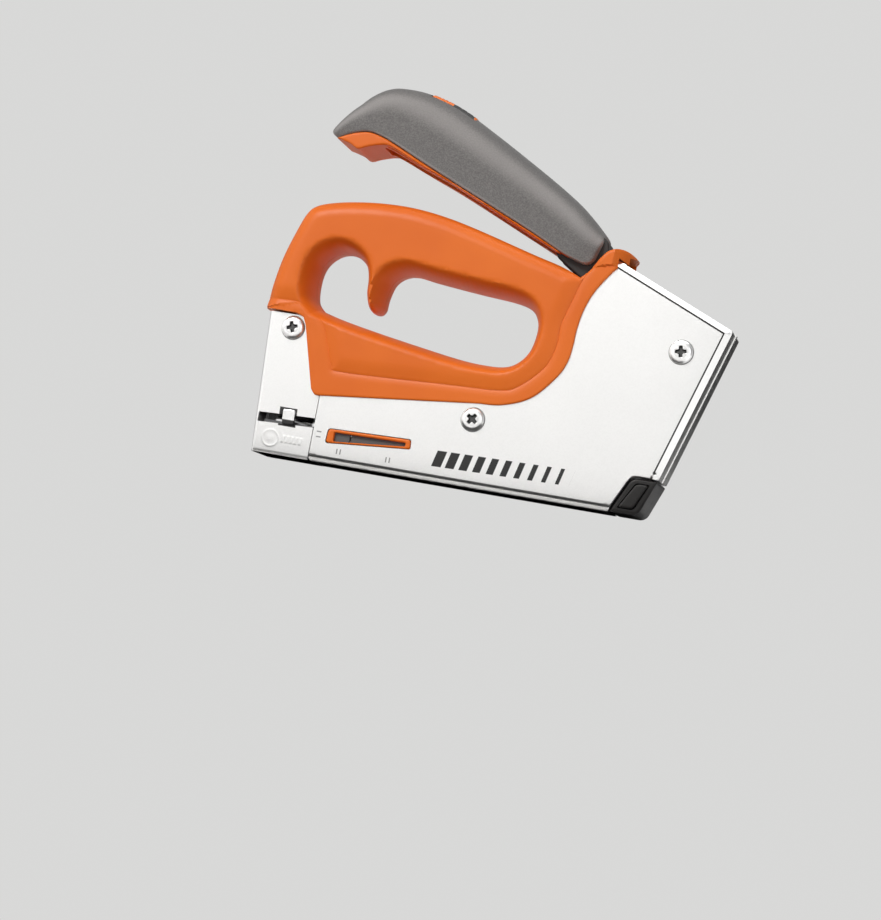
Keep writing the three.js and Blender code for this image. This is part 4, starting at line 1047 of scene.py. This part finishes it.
# ---------------------------------------------------------------- staples
# A glued strip of wire staples stands astride the rail, in the front of the magazine. Every staple is
# one wire of the strip.
WIRE, PER_WIRE = 1.27, 8
STAPLE_HALF, STAPLE_BEND = 5.35, 0.9
strip_low, strip_high = corners_mm("staple_strip")
count = int((strip_high[0] - strip_low[0]) / WIRE)
station = np.arange(count * PER_WIRE + 1) / PER_WIRE
strip_x = strip_low[0] + 0.05 + station * (strip_high[0] - strip_low[0] - 0.1) / count
parting = 0.12 * np.abs(np.cos(np.pi * station))**6
bend = np.linspace(0, math.pi / 2, 7)[1:]
leg_top = strip_high[2] - STAPLE_BEND
half_y = np.r_[np.full(10, STAPLE_HALF), STAPLE_HALF - STAPLE_BEND * (1 - np.cos(bend)),
               np.linspace(STAPLE_HALF - STAPLE_BEND, 0, 6)[1:]]
half_z = np.r_[np.linspace(strip_low[2], leg_top, 10), leg_top + STAPLE_BEND * np.sin(bend),
               np.full(5, strip_high[2])]
out_y = np.r_[np.ones(10), np.cos(bend), np.zeros(5)]
out_z = np.r_[np.zeros(10), np.sin(bend), np.ones(5)]
path_y, path_z = np.r_[-half_y, half_y[-2::-1]], np.r_[half_z, half_z[-2::-1]]
way_y, way_z = np.r_[-out_y, out_y[-2::-1]], np.r_[out_z, out_z[-2::-1]]
strip = np.stack([np.repeat(strip_x[:, None], len(path_y), 1), path_y - parting[:, None] * way_y,
                  path_z - parting[:, None] * way_z], -1)
staples = skin("staple_strip_wires", strip[:, ::-1], 0.5)
shade(staples, 50)
staples.data.materials.append(steel_wire("wire_staples", 0.6))
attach(staples, "frame")
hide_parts("staple_strip")

# ---------------------------------------------------------------- inner steel and rubber
# Stamped levers, guide block, striker and blade are hardened and blackened. Pins, bushes, the rail
# and the channel are zinc plated. A rubber block stops the striker.
BLACK_OIL, BLACK_RUBBED = (0.11, 0.11, 0.11 * 1.04, 1), (0.11 * 2.6, 0.11 * 2.6, 0.11 * 2.6, 1)

def blackened(name):
    """Hardened steel with an oil-black finish, rubbed brighter in patches."""
    p = Paint(name, Metallic=1.0)
    rub = p.noise(160, 4, 0.65)
    fine = p.noise(2000, 2, 0.5, (0.2, 1, 1))
    p.into(Base_Color=p.mix(rub.rise(0.5, 0.8), BLACK_OIL, BLACK_RUBBED),
           Roughness=0.34 + 0.15 * rub + 0.08 * fine, Normal=p.relief(fine, 0.01))
    return p.material

def dull_rubber(name):
    """Black rubber with a fine mottle."""
    p = Paint(name, IOR=1.5)
    fine = p.noise(1500, 3, 0.6)
    p.into(Base_Color=p.mix(fine, (0.016, 0.016, 0.016, 1), (0.03, 0.029, 0.028, 1)),
           Roughness=0.7 + 0.15 * fine, Normal=p.relief(fine, 0.03))
    return p.material

INNER = {
    blackened: ("nose_guide", "lever_fork", "cocking_lever", "striker_carrier", "striker_blade"),
    zinc: ("fulcrum_bush", "rear_spacer", "lever_pin", "lever_roller", "roller_pin", "lever_rivet_1",
           "lever_rivet_2", "spring_seat", "magazine_channel", "staple_rail", "pusher", "magazine_rod"),
    dull_rubber: ("bumper",),
}
for finish, nodes in INNER.items():
    for node in nodes:
        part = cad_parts[node]
        part.data.materials.clear()
        part.data.materials.append(finish("inner_" + node))

# ---------------------------------------------------------------- floor, world and lights
# A plain pale floor, see-through from below because the camera looks from just under the base, and
# a pale room with large soft lights above and in front.
floor_mesh = bpy.data.meshes.new("floor")
floor_mesh.from_pydata([(-3, -3, 0), (3, -3, 0), (3, 3, 0), (-3, 3, 0)], [], [(0, 1, 2, 3)])
floor = bpy.data.objects.new("floor", floor_mesh)
bpy.context.scene.collection.objects.link(floor)
FLOOR_TONES = ((0.78, 0.78, 0.78, 1), (0.82, 0.82, 0.82, 1))
floor_paint = Paint("floor_pale", Roughness=0.7)
floor_paint.into(Base_Color=floor_paint.mix(floor_paint.noise(40, 3, 0.5), *FLOOR_TONES))
from_below = floor_paint.node("ShaderNodeNewGeometry", {}, {}).part("Backfacing")
clear = floor_paint.node("ShaderNodeBsdfTransparent", {}, {})
pale = Value(floor_paint, floor_paint.shader.outputs[0])
seen = floor_paint.node("ShaderNodeMixShader", {}, {0: from_below, 1: pale, 2: clear})
floor_paint.tree.links.new(seen.socket, floor_paint.tree.nodes["Material Output"].inputs["Surface"])
floor_mesh.materials.append(floor_paint.material)
floor.visible_diffuse = False

room = bpy.data.worlds.new("room")
room.use_nodes = True
bpy.context.scene.world = room
sky = room.node_tree.nodes["Background"]
sky.inputs[0].default_value = (0.93, 0.93, 0.925, 1)
sky.inputs[1].default_value = 0.34

# a pale round room that only the camera sees, so that the set stays pale while the sides fall off dark
dome_mesh = bpy.data.meshes.new("dome")
DOME_RADIUS, DOME_ROWS, DOME_COLUMNS = 3.5, 25, 48
turn_to, lift_to = np.meshgrid(np.arange(DOME_COLUMNS) * 2 * math.pi / DOME_COLUMNS,
                               np.linspace(-1.5, 1.5, DOME_ROWS))
dome_points = DOME_RADIUS * np.stack([np.cos(lift_to) * np.cos(turn_to), np.cos(lift_to) * np.sin(turn_to),
                                      np.sin(lift_to)], -1)
dome_at = np.arange(DOME_ROWS * DOME_COLUMNS).reshape(DOME_ROWS, DOME_COLUMNS)
step_on = np.roll(dome_at, -1, 1)
dome_faces = np.stack([dome_at[:-1], dome_at[1:], step_on[1:], step_on[:-1]], -1).reshape(-1, 4)
dome_mesh.from_pydata(dome_points.reshape(-1, 3).tolist(), [], dome_faces.tolist())
dome = bpy.data.objects.new("dome", dome_mesh)
bpy.context.scene.collection.objects.link(dome)
dome.visible_diffuse = dome.visible_glossy = dome.visible_shadow = dome.visible_transmission = False

def glow(name, strength):
    """A card that gives off an even light."""
    p = Paint(name, Base_Color=(0, 0, 0, 1), Roughness=1.0, Specular_IOR_Level=0.0)
    p.shader.inputs["Emission Color"].default_value = (1, 1, 0.99, 1)
    p.shader.inputs["Emission Strength"].default_value = strength
    return p.material

dome_mesh.materials.append(glow("dome_pale", 0.69))

# cards round the set that only reflections see: bright in front, dark on the floor and behind
CARDS = (("card_front", (-1.6, -2.3, -0.25), (1.9, -2.2, 1.1), 0.9),
         ("card_left", (-1.6, -1.8, -0.1), (-1.5, 0.4, 1.2), 1.25),
         ("card_top", (-0.6, -1.1, 2.1), (1.0, 0.3, 2.2), 1.5),
         ("card_right", (0.13, -0.9, 0.0005), (1.0, -0.03, 0.0015), 1.3),
         ("card_low", (-0.12, -0.06, 0.0005), (0.1, -0.0145, 0.0015), 0.01),
         ("card_rear", (0.1, 0.3, -0.02), (0.5, 0.32, 0.12), 0.01))
BOX_FACES = [(0, 1, 3, 2), (4, 6, 7, 5), (0, 4, 5, 1), (2, 3, 7, 6), (0, 2, 6, 4), (1, 5, 7, 3)]
for name, *ends, strength in CARDS:
    card = bpy.data.objects.new(name, bpy.data.meshes.new(name))
    box = [(ends[i][0], ends[j][1], ends[k][2]) for i in (0, 1) for j in (0, 1) for k in (0, 1)]
    card.data.from_pydata(box, [], BOX_FACES)
    card.data.materials.append(glow(name + "_paint", strength))
    card.visible_camera = card.visible_shadow = card.visible_diffuse = False
    bpy.context.scene.collection.objects.link(card)

LIT_POINT = Vector((0, 0, 0.08))
for name, place, size, power_w, colour in (
        ("key", (-0.8, -1.5, 1.2), 0.7, 25, (1, 0.985, 0.96)),
        ("fill", (1.3, -1.5, 0.7), 1.2, 6, (0.97, 0.985, 1)),
        ("top", (0.1, 0.1, 1.9), 1.0, 6, (1, 1, 1))):
    lamp = bpy.data.lights.new(name, "AREA")
    lamp.shape, lamp.size, lamp.energy, lamp.color = "SQUARE", size, power_w, colour
    light = bpy.data.objects.new(name, lamp)
    bpy.context.scene.collection.objects.link(light)
    light.location = place
    light.rotation_euler = (LIT_POINT - Vector(place)).to_track_quat("-Z", "Y").to_euler()

bpy.context.scene.view_settings.view_transform = "Standard"
